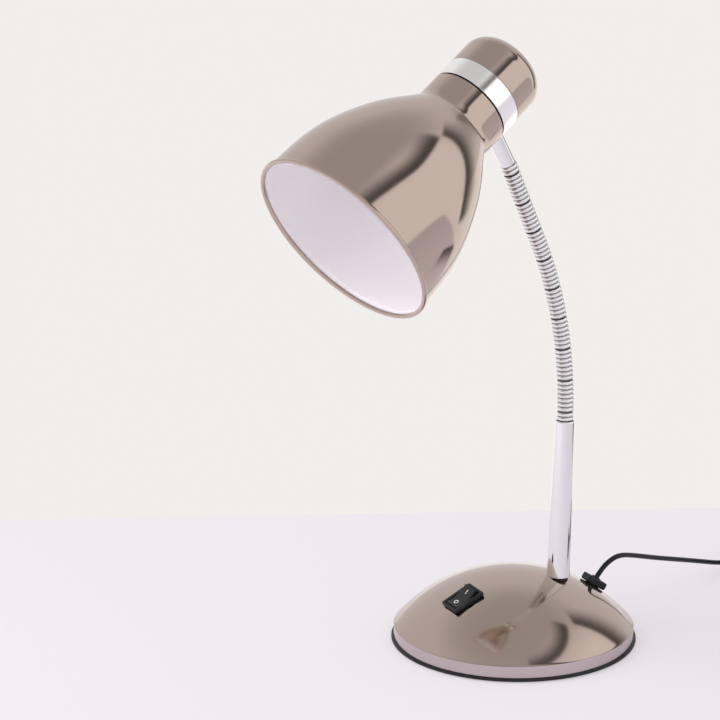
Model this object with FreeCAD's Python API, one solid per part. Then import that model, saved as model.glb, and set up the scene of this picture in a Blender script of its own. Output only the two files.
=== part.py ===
"""Gooseneck desk lamp with a bell-shaped metal shade and a domed, weighted base.

Millimetres, +Z up. The origin is the centre of the base on the table. The head looks
along -Y. The stem, the gooseneck and the head lie in one plane, X = stem_x.
"""
import FreeCAD, Part
import os
from math import cos, degrees, pi, radians, sin, sqrt, tan

from FreeCAD import Placement, Rotation, Vector as V

os.makedirs("parts", exist_ok=True)

# ---------------------------------------------------------------- base
slack = 0.3                # room between neighbouring pieces that only lie close
plate_diameter = 140.0
plate_rim = 1.8            # height of the black rim that shows under the metal
plate_lip = 1.4            # how far that rim stands out past the metal
plate_edge = 0.5           # rounding of that rim
foot_proud = 0.6           # how far the foam foot stands below the bottom plate
foot_thickness = 1.5
shell_wall = 1.0
skirt_height = 6.7
dome_rise = 31.4
ballast_room = 8.6         # between the iron disc and the shell's inside
ballast_height = 9.0
ballast_edge = 1.5
lead_notch_radius = 17.0   # notch in the disc for the leads
lead_notch_shift = (-7.0, -11.5)
lug_count = 3
lug_start = 30.0           # degrees
lug_inset = 4.4            # from the shell's inside to the lug's screw
lug_width = 9.0
lug_relief = 0.5           # the lug ends this far under the top of the skirt
ballast_screw_inset = 15.0
screw_radius = 2.0
screw_length = 7.0
screw_head_radius = 3.6
screw_head_height = 0.8

# ---------------------------------------------------------------- stem
stem_x = 16.5
stem_y = 19.2
stem_foot_z = 37.5
stem_lean = 2.2            # degrees, backwards
stem_length = 91.8
stem_foot_radius = 6.55
stem_top_radius = 5.7
stem_top_rounding = 0.6
stem_bore = 4.5
stud_radius = 4.6
stud_bore = 3.4
stud_grip = 14.0           # length of stud inside the stem
stud_drop = 13.0           # length of stud below the seat
seat_radius = 5.6
seat_depth = 5.0
boss_radius = 9.5
boss_thickness = 5.4
nut_across = 14.0
nut_height = 4.6
washer_radius = 8.5
washer_thickness = 1.2

# ---------------------------------------------------------------- gooseneck
goose_radius = 4.95
goose_groove = 0.55        # depth of the groove between two bands
goose_bore = 2.2
goose_arc_radius = 219.0
goose_arc_turn = 28.7      # degrees
link_count = 8
ribs_per_link = 6
first_joint = 5.4          # along the path, from the stem's top
link_spacing = 18.75
last_length = 5.49918      # from the last joint to the stub
joint_gap = 1.4            # between two links' rims, for the bend
ball_radius = 3.5
ball_clearance = 0.3
spigot_length = 14.0
tip_spigot = 9.0           # how far the gooseneck's end reaches into the stub
tip_spigot_radius = 3.4
tip_bore = 2.0

# ---------------------------------------------------------------- head
stub_tilt = 31.0           # degrees forward from upright
stub_radius = 4.45
stub_thread_radius = 3.4
stub_bore = 2.2
stub_nut_across = 8.6
stub_nut_height = 3.0
stub_reach = 44.4          # from the gooseneck's end to the head's axis
stub_end_room = 2.0        # between the stub's inner end and the holder's rear
stub_start = 0.35          # the stub begins just past the gooseneck's last band
head_dip = 34.2            # degrees, the head's axis below level
stub_past_neck = 7.95      # from the shade neck's end to where the stub's line meets the axis
shade_rim_radius = 53.4
shade_wall = 0.8
bead_radius = 1.3
neck_radius = 23.3
neck_start = 88.2          # from the rim, along the head's axis
neck_length = 15.5
# the bell's outline: shares of the way to the neck, and of the fall in radius
bell_shape = ((0, 0), (0.153, 0.013), (0.3515, 0.08), (0.55, 0.2525), (0.7483, 0.518), (0.9014, 0.804), (1, 1))
ring_gap = 0.8
ring_height = 12.1
ring_wall = 1.6
ring_lip = 1.2
ring_lip_room = 3.2        # from the holder's rear to that lip
spigot_play = 0.1
ring_spigot = 4.0          # the part of the ring that enters the cap
cap_length = 24.4
cap_rounding = 11.0
cap_wall = 1.0
holder_radius = 19.0
holder_reach = 31.7        # in front of the shade neck's end
holder_rear_radius = 14.0
holder_well = 14.2         # radius of the holder's front bore
holder_well_depth = 29.0
shoulder_height = 2.4
shade_ring_height = 4.0
shade_ring_radius = 22.0
shade_ring_notch = 1.2
bracket_thickness = 1.2
bracket_radius = 20.4
bracket_screw_circle = 9.0
bracket_screw_radius = 1.5
bracket_screw_length = 7.0
bracket_head_radius = 2.8
bracket_head_height = 1.8
bracket_hole_radius = 3.0  # holes for the leads
bracket_hole_circle = 10.5
sleeve_wall = 0.4
sleeve_inset = 2.0         # of the threaded sleeve from both ends of the bore
contact_height = 1.2
contact_size = V(6.0, 5.0, 0.5)
contact_dome_radius = 2.0
bulb_length = 66.8
bulb_radius = 22.5
bulb_neck_radius = 13.0
bulb_cap_length = 24.0
bulb_cap_taper = ((4.0, 0.0), (5.2, 1.2), (11.0, 3.5))  # radius, and distance from the contact
bulb_thread_start = 6.0
bulb_flare = radians(62)   # where the neck meets the globe, from the front
thread_radius = 13.1
bulb_wall = 0.7

# ---------------------------------------------------------------- switch
switch_x = -1.0
switch_y = -38.0
switch_turn = 9.0          # degrees, about the dome's normal
bezel_length = 20.0
bezel_width = 15.0
bezel_height = 1.9
body_length = 18.4
body_width = 12.8
body_depth = 11.0
body_corner = 0.6
window_length = 17.0
window_width = 10.8
window_depth = 4.0         # below the pivot
rocker_length = 16.2
rocker_width = 10.2
rocker_rise = 3.2
rocker_hollow = 1.6
pivot_drop = 1.7           # pivot below the bezel's face
pin_radius = 0.9
pin_clearance = 0.05
pin_end_room = 0.1
axle_wall = 0.5            # left outside each end of the axle's hole
rocker_tilt = 10.0         # degrees each side of level
tab_width = 4.8
tab_length = 6.0
tab_thickness = 0.8
tab_pitch = 12.0

# ---------------------------------------------------------------- cord
cord_diameter = 3.0
relief_x = 15.0
relief_inset = 20.1        # from the shell's outside
relief_length = 13.4
relief_width = 9.0
relief_flange = 4.2
relief_slot_length = 8.6
relief_slot_width = 6.2
relief_depth = 17.0        # below the flange, inside the base
relief_grip = 3.0          # how far the cord runs into the flange
coil_pitch = 3.55
coil_inner = 12.0
coil_steps = (6, 6, 6, 6)  # half turns in each layer
coil_entry_step = 3.3      # sideways step where a new layer begins
tie_thickness = 0.8
tie_width = 4.0
tie_clearance = 0.35
coil_floor = cord_diameter / 2 + tie_thickness + tie_clearance
tie_angle = 60.0           # degrees round the coil
cord_lead = 8.4            # straight out of the bushing, from inside it
cord_way = (
    V(17.2, 60.7, 37.4), V(16.9, 69.0, 38.5), V(14.9, 82.3, 34.6), V(11.9, 104.0, 27.2), V(8.4, 128.0, 19.6),
    V(4.9, 151.0, 12.2), V(2.2, 169.0, 6.2), V(-0.2, 184.0, coil_floor), V(-2.2, 199.0, coil_floor),
)
# from the coil's end to the plug: ahead, aside, and the share of the way down
tail_way = ((9.0, 0.0, 0.0), (19.0, 2.6, 0.25), (28.0, 8.8, 0.72), (35.0, 17.5, 1.0), (42.0, 26.5, 1.0))
plug_boot_length = 12.0
plug_boot_radius = 4.4
plug_boot_wall = 1.0
plug_height = 13.6
plug_corner = 3.4
# the plug's outline: distance from the cord's end, width and height
plug_sections = ((11.0, 12.0, 9.0), (17.0, 17.0, 12.0), (30.0, 25.0, 13.2), (45.0, 35.0, plug_height))
plug_pin_radius = 2.0
plug_pin_tip = 1.0
plug_pin_length = 19.0
plug_pin_spacing = 18.6
block_size = V(20.0, 12.0, 9.0)
block_x = -20.0
block_y = 12.0
block_pitch = 10.0
wire_radius = 0.95

# ---------------------------------------------------------------- levels and directions
shell_radius = plate_diameter / 2 - plate_lip
ballast_radius = shell_radius - shell_wall - ballast_room
lug_radius = shell_radius - shell_wall - lug_inset
ballast_screw_radius = ballast_radius - ballast_screw_inset
foot_radius = lug_radius - screw_head_radius - 2 * slack
neck_end = neck_start + neck_length
ring_end = neck_end + ring_gap + ring_height
head_length = ring_end + cap_length
head_station = neck_end + stub_past_neck
holder_front = neck_end - holder_reach
holder_bottom = holder_front + holder_well_depth
bulb_seat = holder_bottom - contact_height
bulb_front = bulb_seat - bulb_cap_length
bulb_tip = bulb_seat - bulb_length
relief_y = shell_radius - relief_inset
last_joint = first_joint + link_count * link_spacing
goose_length = last_joint + last_length
stub_end_reach = stub_reach - holder_rear_radius - stub_end_room
plate_top = foot_proud + plate_rim
skirt_top = plate_top + skirt_height
dome_top = skirt_top + dome_rise
dome_radius = (shell_radius**2 + dome_rise**2) / (2 * dome_rise)
dome_centre = V(0, 0, dome_top - dome_radius)

shapes = {}


def keep(name, shape):
    """Remember a node's solid or group of solids under its name."""
    shapes[name] = shape


def disc(radius, bottom, height, x=0.0, y=0.0):
    return Part.makeCylinder(radius, height, V(x, y, bottom))


def revolve_profile(edges):
    """Turn a closed outline in the XZ plane about Z into a solid."""
    face = Part.Face(Part.Wire(edges))
    return face.revolve(V(0, 0, 0), V(0, 0, 1), 360)


def line(a, b):
    return Part.LineSegment(a, b).toShape()


def arc(a, b, c):
    return Part.Arc(a, b, c).toShape()


def outline(points):
    """Straight edges through the points, closed."""
    return [line(a, b) for a, b in zip(points, points[1:] + points[:1])]


def rounded_box(length_x, length_y, height, radius):
    """A block on z = 0 with its four upright corners rounded."""
    box = Part.makeBox(length_x, length_y, height, V(-length_x / 2, -length_y / 2, 0))
    upright = [e for e in box.Edges if abs(e.tangentAt(e.FirstParameter).z) > 0.99]
    return box.makeFillet(radius, upright)


def slot_block(length, width, height, bottom):
    """A block with fully round ends, long along Y."""
    half = (length - width) / 2
    r = width / 2
    edges = [
        line(V(r, -half, bottom), V(r, half, bottom)),
        arc(V(r, half, bottom), V(0, half + r, bottom), V(-r, half, bottom)),
        line(V(-r, half, bottom), V(-r, -half, bottom)),
        arc(V(-r, -half, bottom), V(0, -half - r, bottom), V(r, -half, bottom)),
    ]
    return Part.Face(Part.Wire(edges)).extrude(V(0, 0, height))


def hexagon(across, height, bottom):
    corner = across / sqrt(3)
    points = [V(corner * cos(radians(60 * i)), corner * sin(radians(60 * i)), bottom) for i in range(6)]
    return Part.Face(Part.Wire(outline(points))).extrude(V(0, 0, height))


def edges_at(shape, height):
    """The round edges that lie in a level plane."""
    return [e for e in shape.Edges if e.BoundBox.ZLength < 0.001 and abs(e.BoundBox.ZMin - height) < 0.001
            and e.Curve.TypeId == "Part::GeomCircle"]


def placed(shape, placement):
    copy = shape.copy()
    copy.Placement = placement.multiply(copy.Placement)
    return copy


def frame_from_axes(origin, x_axis, y_axis, z_axis):
    return Placement(origin, Rotation(x_axis, y_axis, z_axis, "ZXY"))


def dome_frame(x, y, turn=0.0):
    """A frame on the dome at (x, y): z along the normal, y up the slope, turned about z."""
    height = dome_centre.z + sqrt(dome_radius**2 - x * x - y * y)
    normal = (V(x, y, height) - dome_centre).normalize()
    up = (V(0, 0, 1) - normal * normal.z).normalize()
    side = up.cross(normal)
    frame = frame_from_axes(V(x, y, height), side, up, normal)
    return frame.multiply(Placement(V(0, 0, 0), Rotation(V(0, 0, 1), -turn)))


def sag(radius, reach):
    """How far a sphere falls away from its tangent plane at this reach."""
    return radius - sqrt(radius**2 - reach**2)


# ---------------------------------------------------------------- cord paths
def rounded_wire(points, radii=None):
    """Straight runs joined by tangent arcs, each as large as its two runs allow."""
    edges = []
    start = points[0]
    for before, corner, after in zip(points, points[1:], points[2:]):
        back = before - corner
        ahead = after - corner
        run = min(back.Length, ahead.Length)
        turn = pi - back.getAngle(ahead)
        radius = 0.45 * run / tan(turn / 2)
        cut = 0.45 * run
        first = corner + back.normalize() * cut
        last = corner + ahead.normalize() * cut
        bisector = ((first + last) * 0.5 - corner).normalize()
        middle = corner + bisector * (radius / cos(turn / 2) - radius)
        edges.append(line(start, first))
        edges.append(arc(first, middle, last))
        start = last
        if radii is not None:
            radii.append(radius)
    edges.append(line(start, points[-1]))
    return Part.Wire(edges)


def tube(wire, radius):
    """A round bar along a wire."""
    start = wire.Edges[0].valueAt(wire.Edges[0].FirstParameter)
    heading = wire.Edges[0].tangentAt(wire.Edges[0].FirstParameter)
    ring = Part.Wire(Part.Circle(start, heading, radius).toShape())
    return wire.makePipeShell([ring], True, False)


def tube_report(name, wire, solid, radius):
    want = pi * radius**2 * wire.Length
    print(f"{name}: length {wire.Length:.1f}, volume {solid.Volume:.1f} of {want:.1f}")


def arc_from(start, heading, end):
    """The arc that leaves start along heading and reaches end."""
    chord = end - start
    tilt = heading.getAngle(chord)
    if tilt < 1e-6:
        return line(start, end), heading
    radius = chord.Length / (2 * sin(tilt))
    inward = (chord - heading * chord.dot(heading)).normalize()
    middle = start + heading * (radius * sin(tilt)) + inward * (radius * (1 - cos(tilt)))
    leaving = heading * cos(2 * tilt) + inward * sin(2 * tilt)
    return arc(start, middle, end), leaving


def biarc(start, start_heading, end, end_heading):
    """Two arcs that join two points with the headings given at both."""
    gap = end - start
    total = start_heading + end_heading
    a = 2 * (1 - start_heading.dot(end_heading))
    b = 2 * gap.dot(total)
    c = -gap.dot(gap)
    reach = (-b + sqrt(b * b - 4 * a * c)) / (2 * a)
    joint = (start + start_heading * reach + end - end_heading * reach) * 0.5
    first, heading = arc_from(start, start_heading, joint)
    second, _ = arc_from(joint, heading, end)
    return [first, second]


# ---------------------------------------------------------------- base pieces
def make_base():
    shell_inner = shell_radius - shell_wall
    inner_dome = dome_radius - shell_wall
    skirt_inner_z = dome_centre.z + sqrt(inner_dome**2 - shell_inner**2)
    outer_mid = V(dome_radius * sin(radians(25)), 0, dome_centre.z + dome_radius * cos(radians(25)))
    inner_mid = V(inner_dome * sin(radians(25)), 0, dome_centre.z + inner_dome * cos(radians(25)))
    profile = [
        line(V(shell_inner, 0, plate_top), V(shell_radius, 0, plate_top)),
        line(V(shell_radius, 0, plate_top), V(shell_radius, 0, skirt_top)),
        arc(V(shell_radius, 0, skirt_top), outer_mid, V(0, 0, dome_top)),
        line(V(0, 0, dome_top), V(0, 0, dome_top - shell_wall)),
        arc(V(0, 0, dome_top - shell_wall), inner_mid, V(shell_inner, 0, skirt_inner_z)),
        line(V(shell_inner, 0, skirt_inner_z), V(shell_inner, 0, plate_top)),
    ]
    shell = revolve_profile(profile)

    # the stem's seat: a flat spot with a thicker wall behind it
    boss = placed(disc(boss_radius, -boss_thickness, boss_thickness), stem_frame)
    inside = Part.makeSphere(dome_radius - shell_wall / 2, dome_centre)
    shell = shell.fuse(boss.common(inside))
    through = 6 * shell_wall
    flat = placed(disc(stem_foot_radius + slack, 0, through), stem_frame)
    stem_hole = placed(disc(stud_radius + slack, -2 * boss_thickness, 2 * boss_thickness + through), stem_frame)
    switch_hole = rounded_box(body_width + slack, body_length + slack, 2 * through, body_corner + slack / 2)
    switch_hole.translate(V(0, 0, -through))
    switch_hole = placed(switch_hole, switch_frame)
    relief_hole = slot_block(relief_slot_length + slack, relief_slot_width + slack, 2 * through, -through)
    relief_hole = placed(relief_hole, relief_frame)
    for cutter in (flat, stem_hole, switch_hole, relief_hole):
        shell = shell.cut(cutter)
    keep("base_shell", shell.removeSplitter())

    plate = disc(plate_diameter / 2, foot_proud, plate_rim)
    rim_edges = [e for e in plate.Edges if e.Length > 3 * plate_diameter]
    plate = plate.makeFillet(plate_edge, rim_edges)
    recess = disc(foot_radius + slack, foot_proud, foot_thickness - foot_proud)
    plate = plate.cut(recess)

    ballast = disc(ballast_radius, plate_top, ballast_height)
    ballast = ballast.makeFillet(ballast_edge, edges_at(ballast, plate_top + ballast_height))
    notch_x = relief_x + lead_notch_shift[0]
    notch_y = relief_y + lead_notch_shift[1]
    ballast = ballast.cut(disc(lead_notch_radius, plate_top, ballast_height, notch_x, notch_y))

    lugs = []
    screws = []
    skirt_bore = disc(shell_inner, plate_top, skirt_height)
    lug_height = skirt_height - lug_relief
    for i in range(lug_count):
        spin = Rotation(V(0, 0, 1), lug_start + 360 * i / lug_count)
        lug = Part.makeBox(shell_inner - ballast_radius - slack, lug_width, lug_height)
        lug.translate(V(ballast_radius + slack, -lug_width / 2, plate_top))
        lug = placed(lug, Placement(V(0, 0, 0), spin)).common(skirt_bore)
        at_lug = spin.multVec(V(lug_radius, 0, 0))
        at_ballast = spin.multVec(V(ballast_screw_radius, 0, 0))
        lugs.append(lug.cut(disc(screw_radius, plate_top, lug_height, at_lug.x, at_lug.y)))
        for spot, depth in ((at_lug, foot_proud), (at_ballast, foot_thickness)):
            head = disc(screw_head_radius, depth, screw_head_height, spot.x, spot.y)
            shank = disc(screw_radius, depth, screw_length, spot.x, spot.y)
            screws.append(head.fuse(shank))
            plate = plate.cut(disc(screw_head_radius, 0, depth + screw_head_height, spot.x, spot.y))
            plate = plate.cut(disc(screw_radius, 0, plate_top, spot.x, spot.y))
        ballast = ballast.cut(disc(screw_radius, 0, screw_length + foot_thickness, at_ballast.x, at_ballast.y))
    keep("base_plate", plate)
    keep("ballast_disc", ballast)
    keep("shell_lugs", Part.makeCompound(lugs))
    keep("base_screws", Part.makeCompound(screws))
    keep("foot_pad", disc(foot_radius, 0, foot_thickness))


# ---------------------------------------------------------------- stem pieces
def make_stem():
    stem = Part.makeCone(stem_foot_radius, stem_top_radius, stem_length)
    stem = stem.makeFillet(stem_top_rounding, edges_at(stem, stem_length))
    stem = stem.cut(disc(stem_bore, 0, stem_length))
    stem = stem.cut(disc(stud_radius, 0, stud_grip))
    keep("stem_tube", placed(stem, stem_frame))

    stud = disc(stud_radius, -stud_drop, stud_drop + stud_grip)
    stud = stud.cut(disc(stud_bore, -stud_drop, stud_drop + stud_grip))
    keep("stem_stud", placed(stud, stem_frame))

    seat = placed(disc(seat_radius, -seat_depth, seat_depth), stem_frame)
    seat = seat.cut(Part.makeSphere(dome_radius, dome_centre))
    seat = seat.cut(placed(disc(stud_radius, -seat_depth, seat_depth), stem_frame))
    keep("stem_seat", max(seat.Solids, key=lambda s: s.Volume))

    washer_low = -boss_thickness - washer_thickness
    washer = disc(washer_radius, washer_low, washer_thickness)
    washer = washer.cut(disc(stud_radius, washer_low, washer_thickness))
    keep("stem_washer", placed(washer, stem_frame))
    nut_low = washer_low - nut_height
    nut = hexagon(nut_across, nut_height, nut_low).cut(disc(stud_radius, nut_low, nut_height))
    keep("stem_nut", placed(nut, stem_frame))


# ---------------------------------------------------------------- gooseneck
def path_at(s):
    """Position and forward tilt in degrees at a distance along the gooseneck's middle."""
    bend_length = goose_arc_radius * radians(goose_arc_turn)
    start_tilt = -stem_lean
    turned = min(max(s, 0.0), bend_length)
    tilt = start_tilt + degrees(turned / goose_arc_radius)
    a = radians(start_tilt)
    b = radians(tilt)
    spot = V(0, goose_arc_radius * (cos(b) - cos(a)), goose_arc_radius * (sin(b) - sin(a)))
    beyond = s - turned
    spot = spot + V(0, -sin(b), cos(b)) * beyond
    return stem_top + spot, tilt


def path_frame(s):
    """A frame on the path: z along the gooseneck, x steady."""
    spot, tilt = path_at(s)
    return Placement(spot, Rotation(V(1, 0, 0), tilt))


def ring_at(s, radius):
    frame = path_frame(s)
    circle = Part.Circle(V(0, 0, 0), V(0, 0, 1), radius)
    circle.XAxis = V(1, 0, 0)
    wire = Part.Wire(circle.toShape())
    wire.Placement = frame
    return wire


def ribbed(start, end, count):
    """Bands between two places on the path, each between two grooves."""
    pitch = (end - start) / count
    flank = 0.16 * pitch
    groove = goose_radius - goose_groove
    rings = []
    for i in range(count):
        s = start + i * pitch
        rings.append(ring_at(s, groove))
        rings.append(ring_at(s + flank, goose_radius))
        rings.append(ring_at(s + pitch - 2 * flank, goose_radius))
        rings.append(ring_at(s + pitch - flank, groove))
    rings.append(ring_at(end, groove))
    return Part.makeLoft(rings, True, True)


def bore_cut(shape, start, end):
    rings = [ring_at(start + (end - start) * k / 3, goose_bore) for k in range(4)]
    return shape.cut(Part.makeLoft(rings, True, True))


def with_ball(shape, joint):
    """Add the ball on which the next link turns."""
    frame = path_frame(joint)
    ball = Part.makeSphere(ball_radius)
    neck = disc(ball_radius - 0.4, -joint_gap / 2 - 0.5, joint_gap / 2 + 0.5)
    return shape.fuse(placed(ball.fuse(neck), frame))


def with_socket(shape, joint):
    cup = Part.makeSphere(ball_radius + ball_clearance)
    return shape.cut(placed(cup, path_frame(joint)))


def joint_place(i):
    return first_joint + i * link_spacing


def make_gooseneck():
    half_gap = joint_gap / 2
    lower_end = first_joint - half_gap
    root = ribbed(0.4, lower_end, 2)
    spigot = disc(stem_bore - 0.05, stem_length - spigot_length, spigot_length + 0.4)
    root = root.fuse(placed(spigot, stem_frame))
    root = with_ball(root, first_joint)
    root = bore_cut(root, -spigot_length - 1, first_joint + ball_radius + 1)
    keep("gooseneck_root", root)
    for i in range(link_count):
        low = joint_place(i)
        high = joint_place(i + 1)
        link = ribbed(low + half_gap, high - half_gap, ribs_per_link)
        link = with_ball(link, high)
        link = with_socket(link, low)
        link = bore_cut(link, low - 1, high + ball_radius + 1)
        keep(f"gooseneck_link_{i + 1}", link)
    low = joint_place(link_count)
    tip = ribbed(low + half_gap, goose_length, 2)
    tip = tip.fuse(placed(disc(tip_spigot_radius, -1.0, 1.0 + tip_spigot), stub_frame))
    tip = bore_cut(tip, low - 1, goose_length + 1)
    tip = tip.cut(placed(disc(tip_bore, -2.0, tip_spigot + 3.0), stub_frame))
    keep("gooseneck_tip", with_socket(tip, low))


# ---------------------------------------------------------------- head
def make_shade():
    r0 = shade_rim_radius
    wall = shade_wall
    fall = r0 - neck_radius
    # outer profile, opening at z = 0, neck upwards
    outer = Part.BSplineCurve()
    outer.interpolate([V(r0 - share * fall, 0, way * neck_start) for way, share in bell_shape])
    inner = Part.BSplineCurve()
    inner.interpolate([V(r0 - wall - share * fall, 0, way * neck_start) for way, share in bell_shape])
    flange_hole = holder_radius + slack
    edges = [
        line(V(r0 - wall, 0, 0), V(r0, 0, 0)),
        outer.toShape(),
        line(V(neck_radius, 0, neck_start), V(neck_radius, 0, neck_end)),
        line(V(neck_radius, 0, neck_end), V(flange_hole, 0, neck_end)),
        line(V(flange_hole, 0, neck_end), V(flange_hole, 0, neck_end - wall)),
        line(V(flange_hole, 0, neck_end - wall), V(neck_radius - wall, 0, neck_end - wall)),
        line(V(neck_radius - wall, 0, neck_end - wall), V(neck_radius - wall, 0, neck_start)),
        inner.toShape(),
    ]
    shade = revolve_profile(edges)
    bead = Part.makeTorus(r0 - wall / 2 + 0.2, bead_radius, V(0, 0, 0), V(0, 0, 1))
    keep("shade", placed(shade.fuse(bead), head_frame))


def make_ring_and_cap():
    inner = neck_radius - ring_wall
    low = neck_end + ring_gap
    top = ring_end + ring_spigot
    spigot_outer = neck_radius - cap_wall - spigot_play
    spigot_inner = bracket_radius + slack
    lip_radius = holder_rear_radius + ring_lip_room
    points = [
        V(inner, 0, low), V(neck_radius, 0, low), V(neck_radius, 0, ring_end),
        V(spigot_outer, 0, ring_end), V(spigot_outer, 0, top), V(spigot_inner, 0, top), V(spigot_inner, 0, ring_end),
        V(lip_radius, 0, ring_end), V(lip_radius, 0, ring_end - ring_lip), V(inner, 0, ring_end - ring_lip),
    ]
    ring = revolve_profile(outline(points))
    keep("band_ring", placed(ring, head_frame).cut(placed(disc(stub_thread_radius, 0, stub_reach), stub_frame)))

    # closed cup with a rounded end
    r = neck_radius
    q = r - cap_rounding
    e = head_length
    w = cap_wall
    bend = cap_rounding * (1 - cos(radians(45)))
    thin = cap_rounding - w
    inner_bend = thin * (1 - cos(radians(45)))
    edges = [
        line(V(r - w, 0, ring_end), V(r, 0, ring_end)),
        line(V(r, 0, ring_end), V(r, 0, e - cap_rounding)),
        arc(V(r, 0, e - cap_rounding), V(r - bend, 0, e - bend), V(q, 0, e)),
        line(V(q, 0, e), V(0, 0, e)),
        line(V(0, 0, e), V(0, 0, e - w)),
        line(V(0, 0, e - w), V(q, 0, e - w)),
        arc(V(q, 0, e - w), V(r - w - inner_bend, 0, e - w - inner_bend), V(r - w, 0, e - cap_rounding)),
        line(V(r - w, 0, e - cap_rounding), V(r - w, 0, ring_end)),
    ]
    keep("back_cap", placed(revolve_profile(edges), head_frame))


def make_holder():
    rear = ring_end
    shoulder = holder_radius + shoulder_height
    points = [
        V(holder_well, 0, holder_front), V(holder_radius, 0, holder_front), V(holder_radius, 0, neck_end),
        V(shoulder, 0, neck_end), V(shoulder, 0, neck_end + shoulder_height),
        V(holder_rear_radius, 0, neck_end + shoulder_height), V(holder_rear_radius, 0, rear),
        V(0, 0, rear), V(0, 0, holder_bottom), V(holder_well, 0, holder_bottom),
    ]
    holder = revolve_profile(outline(points))
    screws = []
    bracket = disc(bracket_radius, rear, bracket_thickness)
    for side in (1, -1):
        x = side * bracket_screw_circle
        start = rear - bracket_screw_length
        holder = holder.cut(disc(bracket_screw_radius, start - slack, bracket_screw_length + slack, x, 0))
        bracket = bracket.cut(disc(bracket_screw_radius, rear, bracket_thickness, x, 0))
        bracket = bracket.cut(disc(bracket_hole_radius, rear, bracket_thickness, 0, side * bracket_hole_circle))
        shank = disc(bracket_screw_radius, start, bracket_screw_length + bracket_thickness, x, 0)
        head = disc(bracket_head_radius, rear + bracket_thickness, bracket_head_height, x, 0)
        screws.append(placed(shank.fuse(head), head_frame))
    keep("holder_body", placed(holder, head_frame))
    keep("bracket_screws", Part.makeCompound(screws))
    keep("holder_bracket", placed(bracket, head_frame))

    low = neck_end - shade_wall - shade_ring_height
    ring = disc(shade_ring_radius, low, shade_ring_height).cut(disc(holder_radius, low, shade_ring_height))
    for i in range(6):
        angle = radians(60 * i)
        x = shade_ring_radius * cos(angle)
        y = shade_ring_radius * sin(angle)
        ring = ring.cut(disc(shade_ring_notch, low, shade_ring_height, x, y))
    keep("shade_ring", placed(ring, head_frame))

    sleeve_length = holder_well_depth - 2 * sleeve_inset
    sleeve = disc(holder_well, holder_front + sleeve_inset, sleeve_length)
    sleeve = sleeve.cut(disc(holder_well - sleeve_wall, holder_front + sleeve_inset, sleeve_length))
    keep("thread_sleeve", placed(sleeve, head_frame))
    blade = Part.makeBox(contact_size.x, contact_size.y, contact_size.z)
    blade.translate(V(-contact_size.x / 2, -contact_size.y / 2, holder_bottom - contact_size.z))
    dome = disc(contact_dome_radius, bulb_seat, contact_height - contact_size.z)
    keep("centre_contact", placed(blade.fuse(dome), head_frame))


def make_bulb():
    """Screw cap and globe, both thin-walled."""
    taper = [V(r, 0, bulb_seat - down) for r, down in bulb_cap_taper]
    start = bulb_seat - bulb_thread_start
    back = taper[-1] - V(bulb_wall, 0, bulb_wall)
    bore = thread_radius - bulb_wall
    points = [V(0, 0, bulb_seat)] + taper + [
        V(thread_radius, 0, start), V(thread_radius, 0, bulb_front), V(bore, 0, bulb_front), V(bore, 0, start),
        back, V(0, 0, back.z),
    ]
    keep("bulb_base", placed(revolve_profile(outline(points)), head_frame))
    keep("bulb_globe", placed(globe(0.0).cut(globe(bulb_wall)), head_frame))


def globe(inset):
    """Round bulb with a straight neck, made smaller all round by the inset."""
    r = bulb_radius - inset
    neck = bulb_neck_radius - inset
    centre = bulb_tip + bulb_radius
    shoulder = holder_front - slack
    side = V(r * sin(bulb_flare), 0, centre + r * cos(bulb_flare))
    flare = V(neck + 0.36 * (side.x - neck), 0, shoulder - 0.43 * (shoulder - side.z))
    edges = [
        line(V(0, 0, bulb_front), V(neck, 0, bulb_front)),
        line(V(neck, 0, bulb_front), V(neck, 0, shoulder)),
        arc(V(neck, 0, shoulder), flare, side),
        arc(side, V(r, 0, centre), V(0, 0, centre - r)),
        line(V(0, 0, centre - r), V(0, 0, bulb_front)),
    ]
    return revolve_profile(edges)


def make_stub():
    saddle = placed(disc(neck_radius, neck_start, head_length - neck_start), head_frame)
    stub = disc(stub_radius, stub_start, stub_reach - stub_start - neck_radius + 1.0)
    stub = stub.makeFillet(0.4, [e for e in stub.Edges if abs(e.CenterOfMass.z - stub_start) < 0.01 and e.Length > 20])
    thread = disc(stub_thread_radius, stub_start + tip_spigot, stub_end_reach - stub_start - tip_spigot)
    bore = disc(stub_bore, 0, stub_end_reach).fuse(disc(tip_spigot_radius, 0, tip_spigot + 0.2))
    stub = placed(stub, stub_frame).cut(saddle).fuse(placed(thread, stub_frame))
    keep("neck_stub", stub.cut(placed(bore, stub_frame)))

    inner = neck_radius - ring_wall
    nut_start = stub_reach - sqrt(inner**2 - stub_nut_across**2 / 3)
    nut = hexagon(stub_nut_across, stub_nut_height, nut_start + 0.05)
    nut = nut.cut(disc(stub_thread_radius, nut_start, stub_nut_height + 0.05))
    keep("stub_nut", placed(nut, stub_frame))

    wires = []
    for side in (1, -1):
        start_z = stub_end_reach - 8.0
        end_z = stub_reach - holder_rear_radius - slack
        wires.append(placed(disc(0.9, start_z, end_z - start_z, side * 1.15, 0), stub_frame))
    keep("head_wires", Part.makeCompound(wires))


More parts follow.
